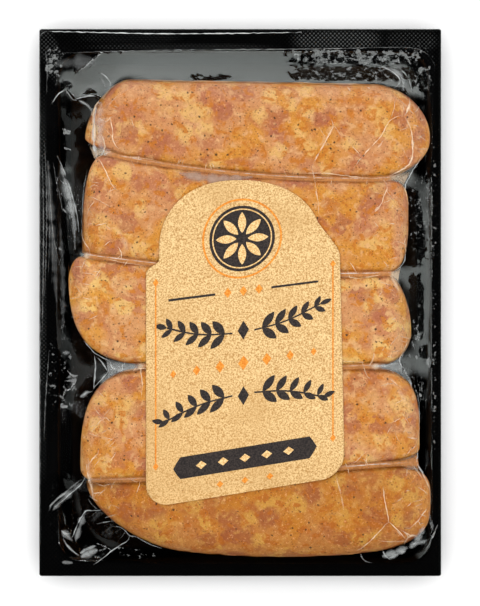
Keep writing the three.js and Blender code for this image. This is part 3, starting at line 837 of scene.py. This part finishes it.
def seam_webs():
    """Strips painted along each seam, as wide as the gap there, beside the label: the painted reflection of
    the film over an open end, a meat-brown web over the closed seam's shaded valley, and a painted highlight
    line and a painted shade line in it.

    Each web is its line, half widths, paleness, warmth and softness.
    """
    webs = []
    for seam, (left_side, right_side) in enumerate(SEAM_SIDES, start=1):
        upper_index, lower_index = seam - 1, seam
        start = max(LEFT_ENDS[upper_index][0], LEFT_ENDS[lower_index][0]) + TIP_MARGIN
        end = min(RIGHT_ENDS[upper_index][0], RIGHT_ENDS[lower_index][0]) - TIP_MARGIN
        x = np.arange(start, end, WEB_STEP)
        upper_middle, _, upper_half, _ = section_at(upper_index, x)
        lower_middle, _, lower_half, _ = section_at(lower_index, x)
        upper = upper_middle - upper_half
        lower = lower_middle + lower_half
        gap = upper - lower
        y = (upper + lower) / 2
        seen = np.array([clear_of_label([place], -TUCK) for place in zip(x, y)])
        shown = seen & (gap < WIDEST_WEB)
        edges = np.flatnonzero(np.diff(np.concatenate([[0], shown, [0]])))
        for first, last in zip(edges[::2], edges[1::2]):
            if last - first < SHORTEST_WEB:
                continue
            run = slice(first, last)
            line = np.stack([x[run], y[run]], axis=1)
            closed = smooth_step(SEAM_OPEN, SEAM_CLOSED, gap[run])
            end_pale, end_warm, *strengths = left_side if line[0, 0] < 0 else right_side
            half = np.maximum(SEAM_HALF_WIDTH, gap[run] / 2 + WEB_OVERLAP)
            pale = mix(end_pale, SEAM_PALENESS, closed)
            webs.append((line, half, pale, mix(end_warm, BROWN, closed), WEB_SOFTNESS))
            uneven = 0.8 + 0.3 * waves(line[:, 0], line[:, 1], 0, FINE_RIPPLES)
            for strength, (offset, half_width, warm) in zip(strengths, SEAM_LINES):
                half = half_width * np.clip(uneven, 0.4, 1.2)
                pale = strength * closed * np.clip(uneven, 0.3, 1)
                webs.append((line + [0, offset], half, pale, warm, LINE_SOFTNESS))
    return webs


def wrinkles():
    """Short faint creases near the sausages' ends and across their seams, drawn only as painted highlight
    lines.
    """
    draw = np.random.default_rng(11)
    lines = []
    for index in range(len(HEIGHTS)):
        for tip, way in ((LEFT_ENDS[index], 1), (RIGHT_ENDS[index], -1)):
            for _ in range(WRINKLES):
                x = tip[0] + way * draw.uniform(2, 11)
                middle, _, half, _ = section_at(index, x)
                y = middle + half * draw.uniform(-0.85, 0.85)
                lines.append((x, y, draw.uniform(-1.1, 1.1), draw.uniform(1.5, 5)))
    for seam in range(1, len(HEIGHTS)):
        for _ in range(WRINKLES):
            x = draw.uniform(-46, 54)
            y = float(band_line(seam, x)) + draw.uniform(-2.5, 2.5)
            lines.append((x, y, math.pi / 2 + draw.uniform(-0.6, 0.6), draw.uniform(1.5, 4.5)))
    creases = []
    for x, y, heading, length in lines:
        share = np.array([-0.5, 0, 0.5])
        bend = draw.uniform(-0.35, 0.35)
        turn = heading + bend * share
        run = np.stack([x + length * share * np.cos(turn), y + length * share * np.sin(turn)], axis=1)
        if clear_of_label(run):
            creases.append((draw.uniform(0.2, 0.45), draw.uniform(0.3, 0.7), run))
    return creases


def painted_light_piece():
    """Painted light as narrow tapered strips that lie on the film: highlights along the creases, rims and
    wrinkles, reflections on slack film, and the seams' webs and lines.
    """
    strips = []
    plain = (*FOLDS, *RIM_LINES, *wrinkles())
    creases = [(width, paleness, None, points) for width, paleness, points in plain]
    for width, paleness, warm, points in (*creases, *PAINTED_REFLECTIONS):
        line = crumple(points)
        taper = np.sin(math.pi * np.clip(line_shares(line), 0.03, 0.97)) ** 0.5
        uneven = 0.75 + 0.25 * waves(line[:, 0], line[:, 1], 0, FINE_RIPPLES)
        shine = 1.2 * paleness * (0.5 + 0.5 * taper) * np.clip(uneven + 0.15, 0.3, 1)
        half = width / 2 * taper * uneven
        softness = BROAD_SOFTNESS if half.max() > SOFT_FROM else LINE_SOFTNESS
        strips.append((line, half, np.minimum(0.95, shine), warm, softness))
    grids, pale, warmth = [], [], []
    for line, half, shine, warm, softness in seam_webs() + strips:
        places, across = ribbon(line, half)
        places = np.clip(places, PACK_LOW[:2] + EDGE, PACK_HIGH[:2] - EDGE)
        x, y = np.moveaxis(places, -1, 0)
        crown = 1 - across**2
        z = film_level(FILM_HEIGHTS, x, y) + STRIP_LIFT + STRIP_BOW * crown
        grids.append(np.stack([x, y, z], axis=-1))
        pale.append((shine[:, None] * crown**softness).reshape(-1))
        if warm is None:
            level = GLOW * (highest_sausage(x, y) > 0)
        else:
            level = np.broadcast_to(np.reshape(warm, (-1, 1)), x.shape)
        warmth.append(level.reshape(-1))
    piece = join_grids("film_painted_light", grids)
    mark(piece, "pale", np.concatenate(pale))
    mark(piece, "warm", np.concatenate(warmth))
    return piece


# The label

def paper_underside(x, y):
    """The label's height over each place, as it bridges the film's dips."""
    height = np.zeros(np.shape(x))
    for away in np.arange(-PAPER_REACH, PAPER_REACH + 0.5):
        height = np.maximum(height, film_level(FILM_SMOOTH, x, y + away) - PAPER_BEND * away * away)
    return height + PAPER_CLEARANCE


def label_span(level):
    """The label's left and right ends at each level."""
    up = np.clip((level - ARCH["foot"]) / (ARCH["crown"] - ARCH["foot"]), 0, 1)
    half = ARCH["half"] * (1 - up ** ARCH["power"]) ** (1 / ARCH["power"])
    down = (BODY["top"] - level) / (BODY["top"] - BODY["bottom"])
    body_right = mix(BODY["right_top"], BODY["right_bottom"], down)
    in_foot = np.clip((BODY["bottom"] + FOOT_RADIUS - level) / FOOT_RADIUS, 0, 1)
    inset = FOOT_RADIUS * (1 - np.sqrt(1 - in_foot**2))
    high, low, power = LEFT_SHOULDER
    left = mix(ARCH["middle"] - half, BODY["left"], smooth_step(high, low, level) ** power)
    high, low, power = RIGHT_SHOULDER
    right = mix(ARCH["middle"] + half, body_right, smooth_step(high, low, level) ** power)
    return left + inset, right - inset


def on_label(across, level):
    """The place in the pack of a point of the label, before its height."""
    slant = SLANT * np.clip((ARCH["crown"] - level) / (ARCH["crown"] - SLANT_FULL_BELOW), 0, 1)
    return across, level + slant * across


def label_levels():
    turn = np.linspace(0.05, math.pi / 2, 28)
    arch = ARCH["foot"] + (ARCH["crown"] - ARCH["foot"]) * np.cos(turn) ** (2 / ARCH["power"])
    side_bottom = BODY["bottom"] + FOOT_RADIUS
    side = np.arange(ARCH["foot"], side_bottom, -PAPER_CELL)[1:]
    foot = side_bottom - FOOT_RADIUS * np.sin(np.linspace(0, math.pi / 2, 10))
    return np.concatenate([arch, side, foot])


def label_piece():
    levels = label_levels()[::-1]
    columns = round((BODY["right_bottom"] - BODY["left"]) / PAPER_CELL) + 1
    left, right = label_span(levels)
    across = mix(left[:, None], right[:, None], np.linspace(0, 1, columns)[None, :])
    x, y = on_label(across, np.broadcast_to(levels[:, None], across.shape))
    z = paper_underside(x, y)
    upper = np.stack([x, y, z + PAPER_THICKNESS], axis=-1).reshape(-1, 3)
    lower = np.stack([x, y, z], axis=-1).reshape(-1, 3)
    rows = len(levels)
    face = grid_faces(rows, columns)
    under = len(upper)
    ids = np.arange(under).reshape(rows, columns)
    edge = np.concatenate([ids[0], ids[1:, -1], ids[-1, -2::-1], ids[-2:0:-1, 0]])
    following = np.roll(edge, -1)
    rim = np.stack([edge, edge + under, following + under, following], axis=-1)
    faces = np.vstack([face, face[:, ::-1] + under, rim])
    return new_mesh("label_paper", np.vstack([upper, lower]), faces.tolist())


# The label's print: plain shapes, as strips in the label's own across and level

def leaf(x, y, angle, length, width, power=0.8):
    share = np.linspace(0, 1, 13)
    line = np.stack([x + math.cos(angle) * length * share, y + math.sin(angle) * length * share], axis=1)
    return ribbon(line, width / 2 * np.sin(math.pi * share) ** power)[0]


def disc(x, y, radius):
    turn = np.linspace(-1, 1, 33)
    line = np.stack([x + radius * np.sin(turn * math.pi / 2), np.full(turn.shape, float(y))], axis=1)
    return ribbon(line, radius * np.cos(turn * math.pi / 2) + 0.01, 9)[0]


def ring(x, y, radius, width):
    turn = np.linspace(0, 2 * math.pi, 73)
    line = np.stack([x + radius * np.cos(turn), y + radius * np.sin(turn)], axis=1)
    grid = ribbon(line, np.full(73, width / 2), 3)[0]
    grid[-1] = grid[0]
    return grid


def diamond(x, y, width, height):
    share = np.linspace(-1, 1, 9)
    line = np.stack([x + width / 2 * share, np.full(9, float(y))], axis=1)
    return ribbon(line, height / 2 * (1 - np.abs(share)) + 0.01)[0]


def stroke(points, width):
    line = smooth_line(points)
    return ribbon(line, np.full(len(line), width / 2), 3)[0]


def banner(x, y, width, height):
    share = np.linspace(-1, 1, 41)
    line = np.stack([x + width / 2 * share, np.full(41, float(y))], axis=1)
    ends = np.clip((1 - np.abs(share)) / 0.09, 0, 1)
    return ribbon(line, height / 2 * ends + 0.01, 9)[0]


def sprig(x, y, way, reach, rise, leaves):
    """A stem that curves out to one side, with leaves in pairs that shrink to its end."""
    shapes = [stroke([(x, y), (x + way * reach * 0.5, y + rise * 0.2), (x + way * reach, y + rise)], 0.5)]
    for step in range(leaves):
        share = (step + 0.6) / leaves
        px = x + way * reach * share
        py = y + rise * (0.2 * share + 0.8 * share * share)
        size = mix(6.4, 3.8, share)
        for turn in (0.85, -0.75):
            heading = turn + 0.25 * share if way > 0 else math.pi - turn - 0.25 * share
            shapes.append(leaf(px, py, heading, size, size * 0.42))
    shapes.append(leaf(x + way * reach, y + rise, 0.3 if way > 0 else math.pi - 0.3, 4, 1.7))
    return shapes


def inked(name, shapes, layer):
    """A flat print from shapes in across and level, laid over the paper."""
    grids = []
    for shape in shapes:
        x, y = on_label(shape[..., 0], shape[..., 1])
        z = paper_underside(x, y) + PAPER_THICKNESS + INK_LIFT * layer
        grids.append(np.stack([x, y, z], axis=-1))
    return join_grids(name, grids)


BADGE = (0.6, 20.5)
BADGE_RADIUS = 10.5


def dark_shapes():
    shapes = [disc(*BADGE, BADGE_RADIUS), banner(1.5, -50, 46, 7)]
    for way in (-1, 1):
        shapes += sprig(1 + way * 3.5, -9.5, way, 21, 5, 5)
        shapes += sprig(1 + way * 3.5, -29.5, way, 22, -5, 5)
        shapes.append(stroke([(1 + way * 9, 3.6), (1 + way * 24, 3.6)], 0.7))
    shapes += [diamond(1, -9, 3.6, 6), diamond(1, -30, 3.6, 6)]
    return shapes


def orange_shapes():
    shapes = [ring(*BADGE, BADGE_RADIUS + 2, 0.6)]
    for step in range(-3, 4):
        width, height = 3.4 - abs(step) * 0.5, 4.6 - abs(step) * 0.7
        shapes.append(diamond(1 + 7.5 * step, -19.5, width, height))
    shapes += [diamond(1 + 5 * step, 3.6, 2.4, 3.2) for step in range(-1, 2)]
    shapes += [diamond(1.5 + 8 * step, -57.2, 2.2, 2.2) for step in range(-1, 2)]
    for way in (-1, 1):
        side = 1.3 + way * 28.4
        shapes.append(stroke([(side, 8), (side, -8), (side, -24), (side, -40), (side, -47)], 0.45))
        shapes.append(diamond(side, 9.2, 1.8, 2.6))
        shapes.append(diamond(side, -48.2, 1.8, 2.6))
    return shapes


def pale_shapes():
    x, y = BADGE
    shapes = []
    for angle in np.arange(8) * math.pi / 4:
        foot = (x + 1.8 * math.cos(angle), y + 1.8 * math.sin(angle))
        shapes.append(leaf(*foot, angle, 6.6, 2.6))
    shapes.append(ring(x, y, BADGE_RADIUS - 1.1, 0.4))
    shapes += [diamond(1.5 + 7 * step, -50, 3.4, 2.6) for step in range(-2, 3)]
    return shapes


# The tray

def round_rectangle(box, radius, z, steps=10):
    centres = (
        (box["right"] - radius, box["top"] - radius),
        (box["left"] + radius, box["top"] - radius),
        (box["left"] + radius, box["bottom"] + radius),
        (box["right"] - radius, box["bottom"] + radius),
    )
    ring = []
    for quarter, (cx, cy) in enumerate(centres):
        for step in range(steps + 1):
            angle = (quarter + step / steps) * math.pi / 2
            ring.append([cx + radius * math.cos(angle), cy + radius * math.sin(angle), z])
    return ring


def shrink(box, margin):
    return {
        "left": box["left"] + margin,
        "right": box["right"] - margin,
        "bottom": box["bottom"] + margin,
        "top": box["top"] - margin,
    }


PACK_BOX = {
    "left": PACK_LOW[0],
    "right": PACK_HIGH[0],
    "bottom": PACK_LOW[1],
    "top": PACK_HIGH[1],
}


def wall_rings(outward, low, high):
    """Rings from the foot of the tray's wall up to the flange."""
    rings = []
    for step in range(WALL_STEPS + 1):
        share = step / WALL_STEPS
        inset = WALL_RUN * (1 - share) - outward
        z = mix(low, high, float(smooth_step(0, 1, share)))
        rings.append(round_rectangle(shrink(MOUTH, inset), MOUTH_RADIUS - inset / 2, z))
    return rings


def tray_piece():
    """One thin shell: out along its underside, over the flange's edge and back inside."""
    rings = wall_rings(TRAY_THICKNESS, 0, FLANGE_TOP - TRAY_THICKNESS)
    for inset, down in FLANGE_EDGE:
        rings.append(round_rectangle(shrink(PACK_BOX, inset), PACK_RADIUS, FLANGE_TOP - down))
    rings += reversed(wall_rings(0, FLOOR_TOP, FLANGE_TOP))
    middle_x = (MOUTH["left"] + MOUTH["right"]) / 2
    middle_y = (MOUTH["bottom"] + MOUTH["top"]) / 2
    ends = ([middle_x, middle_y, 0], [middle_x, middle_y, FLOOR_TOP])
    return closed_rings("tray_shell", rings, *ends)


# Materials

# The meat's colours, as red, green and blue from 0 to 255
SPICED_MEAT = (236, 166, 62)
ROSY_MEAT = (231, 168, 120)
LEAN = (202, 122, 94)
FAT_LUMP = (255, 214, 142)
LEAN_LUMP = (191, 111, 87)
OILY_BLOTCH = (222, 136, 30)
PALE_BLOTCH = (250, 202, 156)
DARK_GRAIN = (142, 80, 34)
PALE_GRAIN = (252, 196, 140)
SPICE = (104, 62, 24)
PEPPER = (58, 38, 18)
# What tones each sausage's colours down
USUAL_TONE = (0.862, 0.822, 0.728)
PALER_TONE = (0.885, 0.872, 0.775)
# Painted shade: the last sausage is toned darker, as if less lit, and also richer in colour
DEEPER_SHADED_TONE = (0.775, 0.69, 0.44)
TONES = (USUAL_TONE, USUAL_TONE, PALER_TONE, USUAL_TONE, DEEPER_SHADED_TONE)
# The colour of the film's painted pale spots, and the painted light strips' tints from each level of warmth
# up
FILM_HAZE_AND_SHEEN = (200, 204, 202)
HIGHLIGHT_TINT = (226, 230, 229)
PAINTED_LIGHT_HUES = (
    (MAUVE, (176, 146, 128)),
    (GLOW, (252, 222, 188)),
    (BROWN, (206, 140, 84)),
    (SEAM_SHADE, (118, 80, 52)),
)
HUE_BLEND = 0.25
FILM_IOR = 1.6
# The kraft paper's and the inks' colours
DARK_FIBRE = (179, 133, 75)
PALE_FIBRE = (240, 205, 147)
# Painted shade: the paper's colour in its broad shaded patches, and towards its lower left corner
SHADED_PAPER = (196, 154, 96)
SHADED_CORNER_PAPER = (196, 148, 86)
PAPER_FLECK = (128, 84, 40)
DARK_INK = ((34, 30, 30), (62, 54, 50))
ORANGE_INK = ((214, 122, 34), (240, 160, 66))
PALE_INK = ((206, 160, 98), (250, 214, 154))


def linear(colour):
    """A colour as seen on a screen, as linear light."""
    parts = []
    for value in colour:
        share = value / 255
        parts.append(share / 12.92 if share <= 0.04045 else ((share + 0.055) / 1.055) ** 2.4)
    return (*parts, 1.0)


class Look:
    """A material's or a world's nodes, with short ways to add and join them."""

    def __init__(self, owner):
        owner.use_nodes = True
        self.owner = owner
        self.nodes = owner.node_tree.nodes
        self.links = owner.node_tree.links

    def feed(self, node, inputs):
        """Sets a node's inputs, each to a value or to another node's socket."""
        for name, value in inputs.items():
            if isinstance(value, bpy.types.NodeSocket):
                self.links.new(value, node.inputs[name])
            else:
                node.inputs[name].default_value = value

    def add(self, kind, inputs, **settings):
        node = self.nodes.new("ShaderNode" + kind)
        for name, value in settings.items():
            setattr(node, name, value)
        self.feed(node, inputs)
        return node

    def place(self):
        """Object coordinates in millimetres."""
        metres = self.add("TexCoord", {}).outputs["Object"]
        return self.add("VectorMath", {0: metres, "Scale": 1 / MM}, operation="SCALE").outputs[0]

    def attribute(self, name):
        return self.add("Attribute", {}, attribute_name=name).outputs["Fac"]

    def maths(self, operation, *values):
        return self.add("Math", dict(enumerate(values)), operation=operation).outputs[0]

    def times(self, first, second):
        return self.maths("MULTIPLY", first, second)

    def noise(self, place, per_mm, detail=3.0, roughness=0.5, distortion=0.0):
        grain = {"Scale": per_mm, "Detail": detail, "Roughness": roughness, "Distortion": distortion}
        return self.add("TexNoise", {"Vector": place, **grain}).outputs["Fac"]

    def between(self, value, low, high, to_low=0.0, to_high=1.0):
        """A value's place between low and high, eased, as a number from to_low to to_high."""
        ends = {"From Min": low, "From Max": high, "To Min": to_low, "To Max": to_high}
        ranged = self.add("MapRange", {"Value": value, **ends}, interpolation_type="SMOOTHSTEP")
        return ranged.outputs["Result"]

    def blend(self, share, first, second):
        """A mix of two colours, each a colour or a socket."""
        inputs = {"Factor": share, "A": first, "B": second}
        return self.add("Mix", inputs, data_type="RGBA").outputs["Result"]

    def mix_shaders(self, share, first, second):
        return self.add("MixShader", {"Fac": share, 1: first, 2: second}).outputs[0]

    def bump(self, height, distance_mm, strength=1.0):
        inputs = {"Height": height, "Strength": strength, "Distance": distance_mm * MM}
        return self.add("Bump", inputs).outputs["Normal"]

    def knurl(self, place):
        """Fine bumps in slanting rows, as heights from -1 to 1."""
        parts = self.add("SeparateXYZ", {0: place}).outputs
        rate = 2 * math.pi / KNURL_PITCH
        rows = [self.maths("SINE", self.times(parts[axis], rate)) for axis in ("X", "Y")]
        return self.times(*rows)

    def cells(self, place, per_mm):
        """Cells side by side: the distance to each one's middle and its own random number."""
        cells = self.add("TexVoronoi", {"Vector": place, "Scale": per_mm}).outputs
        return cells["Distance"], cells["Color"]

    def specks(self, place, per_mm, radius_mm, strength):
        """Small round dots of many sizes, from strength at their middles to 0."""
        distance, number = self.cells(place, per_mm)
        size = self.between(number, 0.35, 0.8, 0.01, 1)
        radius = radius_mm * per_mm
        return self.between(self.maths("DIVIDE", distance, size), radius * 0.5, radius, strength, 0)

    def bent(self, place, per_mm, reach_mm):
        """Places moved by a noise, to bend what is drawn at them."""
        drift = self.add("TexNoise", {"Vector": place, "Scale": per_mm, "Detail": 2}).outputs["Color"]
        inputs = {0: drift, 1: (reach_mm, reach_mm, reach_mm), 2: place}
        return self.add("VectorMath", inputs, operation="MULTIPLY_ADD").outputs[0]

    def solid(self, colour, roughness, specular, normal=None):
        """The whole material of a solid surface."""
        inputs = {"Base Color": colour, "Roughness": roughness, "Specular IOR Level": specular}
        if normal is not None:
            inputs["Normal"] = normal
        self.feed(self.nodes["Principled BSDF"], inputs)
        return self.owner

    def sheet(self, shader):
        """The whole material of a thin sheet that can be seen through."""
        self.nodes.remove(self.nodes["Principled BSDF"])
        self.feed(self.nodes["Material Output"], {"Surface": shader})
        return self.owner


def new_look(name):
    return Look(bpy.data.materials.new(name))


def meat_material(number, tone):
    """Coarse meat and fat under a casing; tone darkens a sausage a little."""
    look = new_look(f"sausage_meat_{number}")
    inputs = {0: look.place(), 1: (0, 0, 40 * number)}
    place = look.add("VectorMath", inputs, operation="ADD").outputs[0]

    def shade(colour):
        return linear(part * share for part, share in zip(colour, tone))

    def lay(under, texture, low, high, most, over):
        """Lays a colour over another where a texture is past low, fully at high."""
        return look.blend(look.between(texture, low, high, 0, most), under, over)

    def lay_lumps(under, per_mm, low, high, most, over):
        """Lays soft lumps of a colour, where their cells' numbers are past low."""
        distance, own = look.cells(look.bent(place, 0.35, 5), per_mm)
        body = look.between(distance, 0.63, 0.34, 0, most)
        return look.blend(look.times(body, look.between(own, low, high)), under, over)

    warm = look.noise(place, 0.07, 2, 0.5, 0.3)
    colour = look.blend(look.between(warm, 0.4, 0.6), shade(SPICED_MEAT), shade(ROSY_MEAT))
    lean = look.noise(place, 0.13, 1, 0.4, 0.6)
    colour = lay(colour, lean, 0.52, 0.7, 0.62, shade(LEAN))
    colour = lay_lumps(colour, 0.16, 0.5, 0.4, 0.76, shade(FAT_LUMP))
    colour = lay_lumps(colour, 0.14, 0.52, 0.64, 0.7, shade(LEAN_LUMP))
    blotch = look.noise(place, 0.36, 2, 0.5, 0.4)
    colour = lay(colour, blotch, 0.46, 0.34, 0.85, shade(OILY_BLOTCH))
    colour = lay(colour, blotch, 0.54, 0.7, 0.7, shade(PALE_BLOTCH))
    grain = look.noise(place, 1.3, 4, 0.65, 0.8)
    colour = lay(colour, grain, 0.48, 0.3, 0.6, linear(DARK_GRAIN))
    colour = lay(colour, grain, 0.54, 0.72, 0.42, linear(PALE_GRAIN))
    colour = look.blend(look.specks(place, 1.2, 0.3, 0.7), colour, linear(SPICE))
    pepper = look.specks(look.bent(place, 1.5, 0.8), 0.5, 0.46, 0.9)
    colour = look.blend(pepper, colour, linear(PEPPER))
    return look.solid(colour, 0.55, 0.25, look.bump(grain, 0.1, 0.5))


def film_material():
    """Clear film: glossy where it hangs free, duller where it clings to the meat."""
    look = new_look("clear_film")
    place = look.place()
    flange, cling, stuck, damp_and_reflection = (look.attribute(name) for name in ("flange", "cling", "stuck", "damp_and_reflection"))
    ridges = look.times(look.knurl(place), flange)
    relief = look.bump(ridges, 0.035)
    gloss = look.add("BsdfGlossy", {"Roughness": look.between(cling, 0, 1, 0.07, 0.5), "Normal": relief})
    clear = look.add("BsdfTransparent", {})
    haze_and_painted_light = look.add("BsdfDiffuse", {"Color": linear(FILM_HAZE_AND_SHEEN)})
    # Its mirror is weaker on the meat, and nearly gone in the islands stuck to the tray
    rough = look.between(look.noise(place, 0.36, 6, 0.62), 0.33, 0.67, 0.06, 0.97)
    hangs = look.between(look.maths("SUBTRACT", stuck, rough), -0.05, 0.05, 1, 0.06)
    on_meat = look.between(cling, 0, 1, 1, 0.22)
    mirror = look.add("Fresnel", {"IOR": FILM_IOR}).outputs[0]
    shine = look.times(mirror, look.times(hangs, on_meat))
    film = look.mix_shaders(shine, clear.outputs[0], gloss.outputs[0])
    # Painted reflection: pale dots and blots over drops and bubbles under the film, and painted highlights
    # on the knurl's tops on the flange
    fine = look.times(look.specks(place, 1.1, 0.3, 0.34), damp_and_reflection)
    blot_noise = look.between(look.noise(place, 0.55, 4, 0.6), 0.33, 0.67, 0.08, 0.97)
    blots = look.between(look.maths("SUBTRACT", look.times(damp_and_reflection, 0.5), blot_noise), -0.04, 0.04, 0, 0.28)
    # Painted highlights: pale dots on the knurl's tops, strongest where it stands out
    tops = look.between(look.knurl(place), 0.15, 0.7, 0, 0.16)
    knurl_highlights = look.times(look.maths("POWER", flange, 2.0), tops)
    spots = look.maths("MAXIMUM", knurl_highlights, look.maths("MAXIMUM", fine, blots))
    return look.sheet(look.mix_shaders(spots, film, haze_and_painted_light.outputs[0]))


def painted_light_material():
    """Painted highlights, reflections and shade on the film: a tinted diffuse mixed into clear by the
    strips' paleness.
    """
    look = new_look("film_painted_light")
    warm = look.attribute("warm")
    tint = linear(HIGHLIGHT_TINT)
    for level, hue in PAINTED_LIGHT_HUES:
        tint = look.blend(look.between(warm, level - HUE_BLEND, level), tint, linear(hue))
    mottle = look.between(look.noise(look.place(), 0.9, 4, 0.65), 0.35, 0.6, 0.72, 1)
    clear = look.add("BsdfTransparent", {})
    haze_and_painted_light = look.add("BsdfDiffuse", {"Color": tint})
    share = look.times(look.attribute("pale"), mottle)
    return look.sheet(look.mix_shaders(share, clear.outputs[0], haze_and_painted_light.outputs[0]))


def tray_material():
    look = new_look("tray_plastic")
    grain = look.noise(look.place(), 1.5, 2)
    roughness = look.between(grain, 0.3, 0.7, 0.16, 0.26)
    return look.solid((0.001, 0.001, 0.0011, 1), roughness, 0.3, look.bump(grain, 0.05, 0.4))


def paper_material():
    """Speckled kraft paper, with painted shade: darker in broad patches and towards its lower left corner.
    """
    look = new_look("label_paper")
    place = look.place()
    fine = look.noise(place, 2.0, 3, 0.7)
    colour = look.blend(look.between(fine, 0.36, 0.62), linear(DARK_FIBRE), linear(PALE_FIBRE))
    # Painted shade of the label's bends: broad darker patches
    shaded_patches = look.between(look.noise(place, 0.045, 2), 0.5, 0.68, 0, 0.35)
    colour = look.blend(shaded_patches, colour, linear(SHADED_PAPER))
    # Painted shade: darker towards the lower left corner
    to_corner = look.add("VectorMath", {0: place, 1: (-0.6, -0.8, 0)}, operation="DOT_PRODUCT")
    corner = look.between(to_corner.outputs["Value"], 5, 70, 0, 0.35)
    colour = look.blend(corner, colour, linear(SHADED_CORNER_PAPER))
    colour = look.blend(look.specks(place, 0.7, 0.24, 0.7), colour, linear(PAPER_FLECK))
    return look.solid(colour, 0.85, 0.2, look.bump(fine, 0.04, 0.4))


def ink_material(name, first, second):
    """A printed colour that lets a little of the paper's grain through."""
    look = new_look(name)
    fine = look.noise(look.place(), 2.0, 3, 0.7)
    colour = look.blend(look.between(fine, 0.4, 0.62), linear(first), linear(second))
    return look.solid(colour, 0.7, 0.2)


# Pieces

wear(tray_piece(), tray_material(), "tray_plastic", "tray")
for number, tone in enumerate(TONES):
    wear(sausage_piece(number), meat_material(number + 1, tone), "sausage_meat", f"sausage_{number + 1}")
wear(film_piece(), film_material(), "film_plastic", "clear_film")
# Painted highlights, reflections and shade, as strips on the film
wear(painted_light_piece(), painted_light_material(), "film_plastic")
wear(label_piece(), paper_material(), "label_paper", "label")
wear(inked("label_print_dark", dark_shapes(), 1), ink_material("dark_ink", *DARK_INK), "label_paper")
wear(inked("label_print_orange", orange_shapes(), 1), ink_material("orange_ink", *ORANGE_INK), "label_paper")
wear(inked("label_print_pale", pale_shapes(), 2), ink_material("kraft_ink", *PALE_INK), "label_paper")


# Floor, light and camera

FLOOR_REACH = 3
TOP_PANEL = 2.6
RIGHT_PANEL = 1.7
LEFT_PANEL = 0.4
PANEL_COLOUR = (0.93, 1, 0.965, 1)
OVERHEAD_RADIANCE = 1.7
CAMERA_HEIGHT = 1.5
CAMERA_SHIFT = (-0.00008, -0.00016)
SENSOR_HEIGHT = 24
PHOTO_HEIGHT = 606
MM_PER_PIXEL = 0.325


def floor():
    corners = [(x * FLOOR_REACH, y * FLOOR_REACH, 0) for x, y in ((-1, -1), (1, -1), (1, 1), (-1, 1))]
    mesh = bpy.data.meshes.new("floor")
    mesh.from_pydata(corners, [], [(0, 1, 2, 3)])
    plane = bpy.data.objects.new("floor", mesh)
    bpy.context.scene.collection.objects.link(plane)
    mesh.materials.append(new_look("floor").solid((0.95, 0.95, 0.95, 1), 0.9, 0.2))
    plane.visible_glossy = False


def soft_box(name, place, width, height, radiance, mirrored=True):
    """A rectangular light that faces the pack, to light it or to be mirrored in its gloss."""
    light = bpy.data.lights.new(name, "AREA")
    light.shape = "RECTANGLE"
    light.size = width
    light.size_y = height
    light.energy = radiance * width * height * math.pi
    lamp = bpy.data.objects.new(name, light)
    bpy.context.scene.collection.objects.link(lamp)
    lamp.location = place
    lamp.rotation_euler = (-Vector(place)).to_track_quat("-Z", "Y").to_euler()
    lamp.visible_glossy = mirrored
    lamp.visible_diffuse = not mirrored


def studio_world():
    """What gloss mirrors: a bright low panel at the top, and dimmer ones right and left."""
    world = bpy.data.worlds.new("studio")
    look = Look(world)
    parts = look.add("SeparateXYZ", {0: look.add("TexCoord", {}).outputs["Generated"]}).outputs
    low = look.between(look.maths("ABSOLUTE", parts["Z"]), 0.6, 0.4)
    top = look.between(parts["Y"], 0.25, 0.55, 0, TOP_PANEL)
    right = look.between(parts["X"], 0.45, 0.85, 0, RIGHT_PANEL)
    left = look.between(parts["X"], -0.6, -0.9, 0, LEFT_PANEL)
    sides = look.maths("MAXIMUM", top, look.maths("MAXIMUM", right, left))
    look.feed(look.nodes["Background"], {"Color": PANEL_COLOUR, "Strength": look.times(low, sides)})
    world.cycles_visibility.diffuse = False
    bpy.context.scene.world = world


floor()
studio_world()
soft_box("overhead", (0, 0.12, 1.8), 6, 6, OVERHEAD_RADIANCE, mirrored=False)
soft_box("top_strip", (0, 0.95, 0.45), 1.2, 0.06, 7)
soft_box("left_strip", (-1.0, 0.1, 0.5), 0.06, 0.9, 5)
soft_box("right_strip", (1.0, 0.1, 0.5), 0.06, 0.9, 8)
bpy.context.scene.view_settings.view_transform = "Standard"

lens = bpy.data.cameras.new("camera")
lens.sensor_fit = "VERTICAL"
lens.sensor_height = SENSOR_HEIGHT
seen = PHOTO_HEIGHT * MM_PER_PIXEL * MM
lens.lens = SENSOR_HEIGHT * (CAMERA_HEIGHT - FLANGE_TOP * MM) / seen
camera = bpy.data.objects.new("camera", lens)
camera.location = (*CAMERA_SHIFT, CAMERA_HEIGHT)
bpy.context.scene.collection.objects.link(camera)
bpy.context.scene.camera = camera
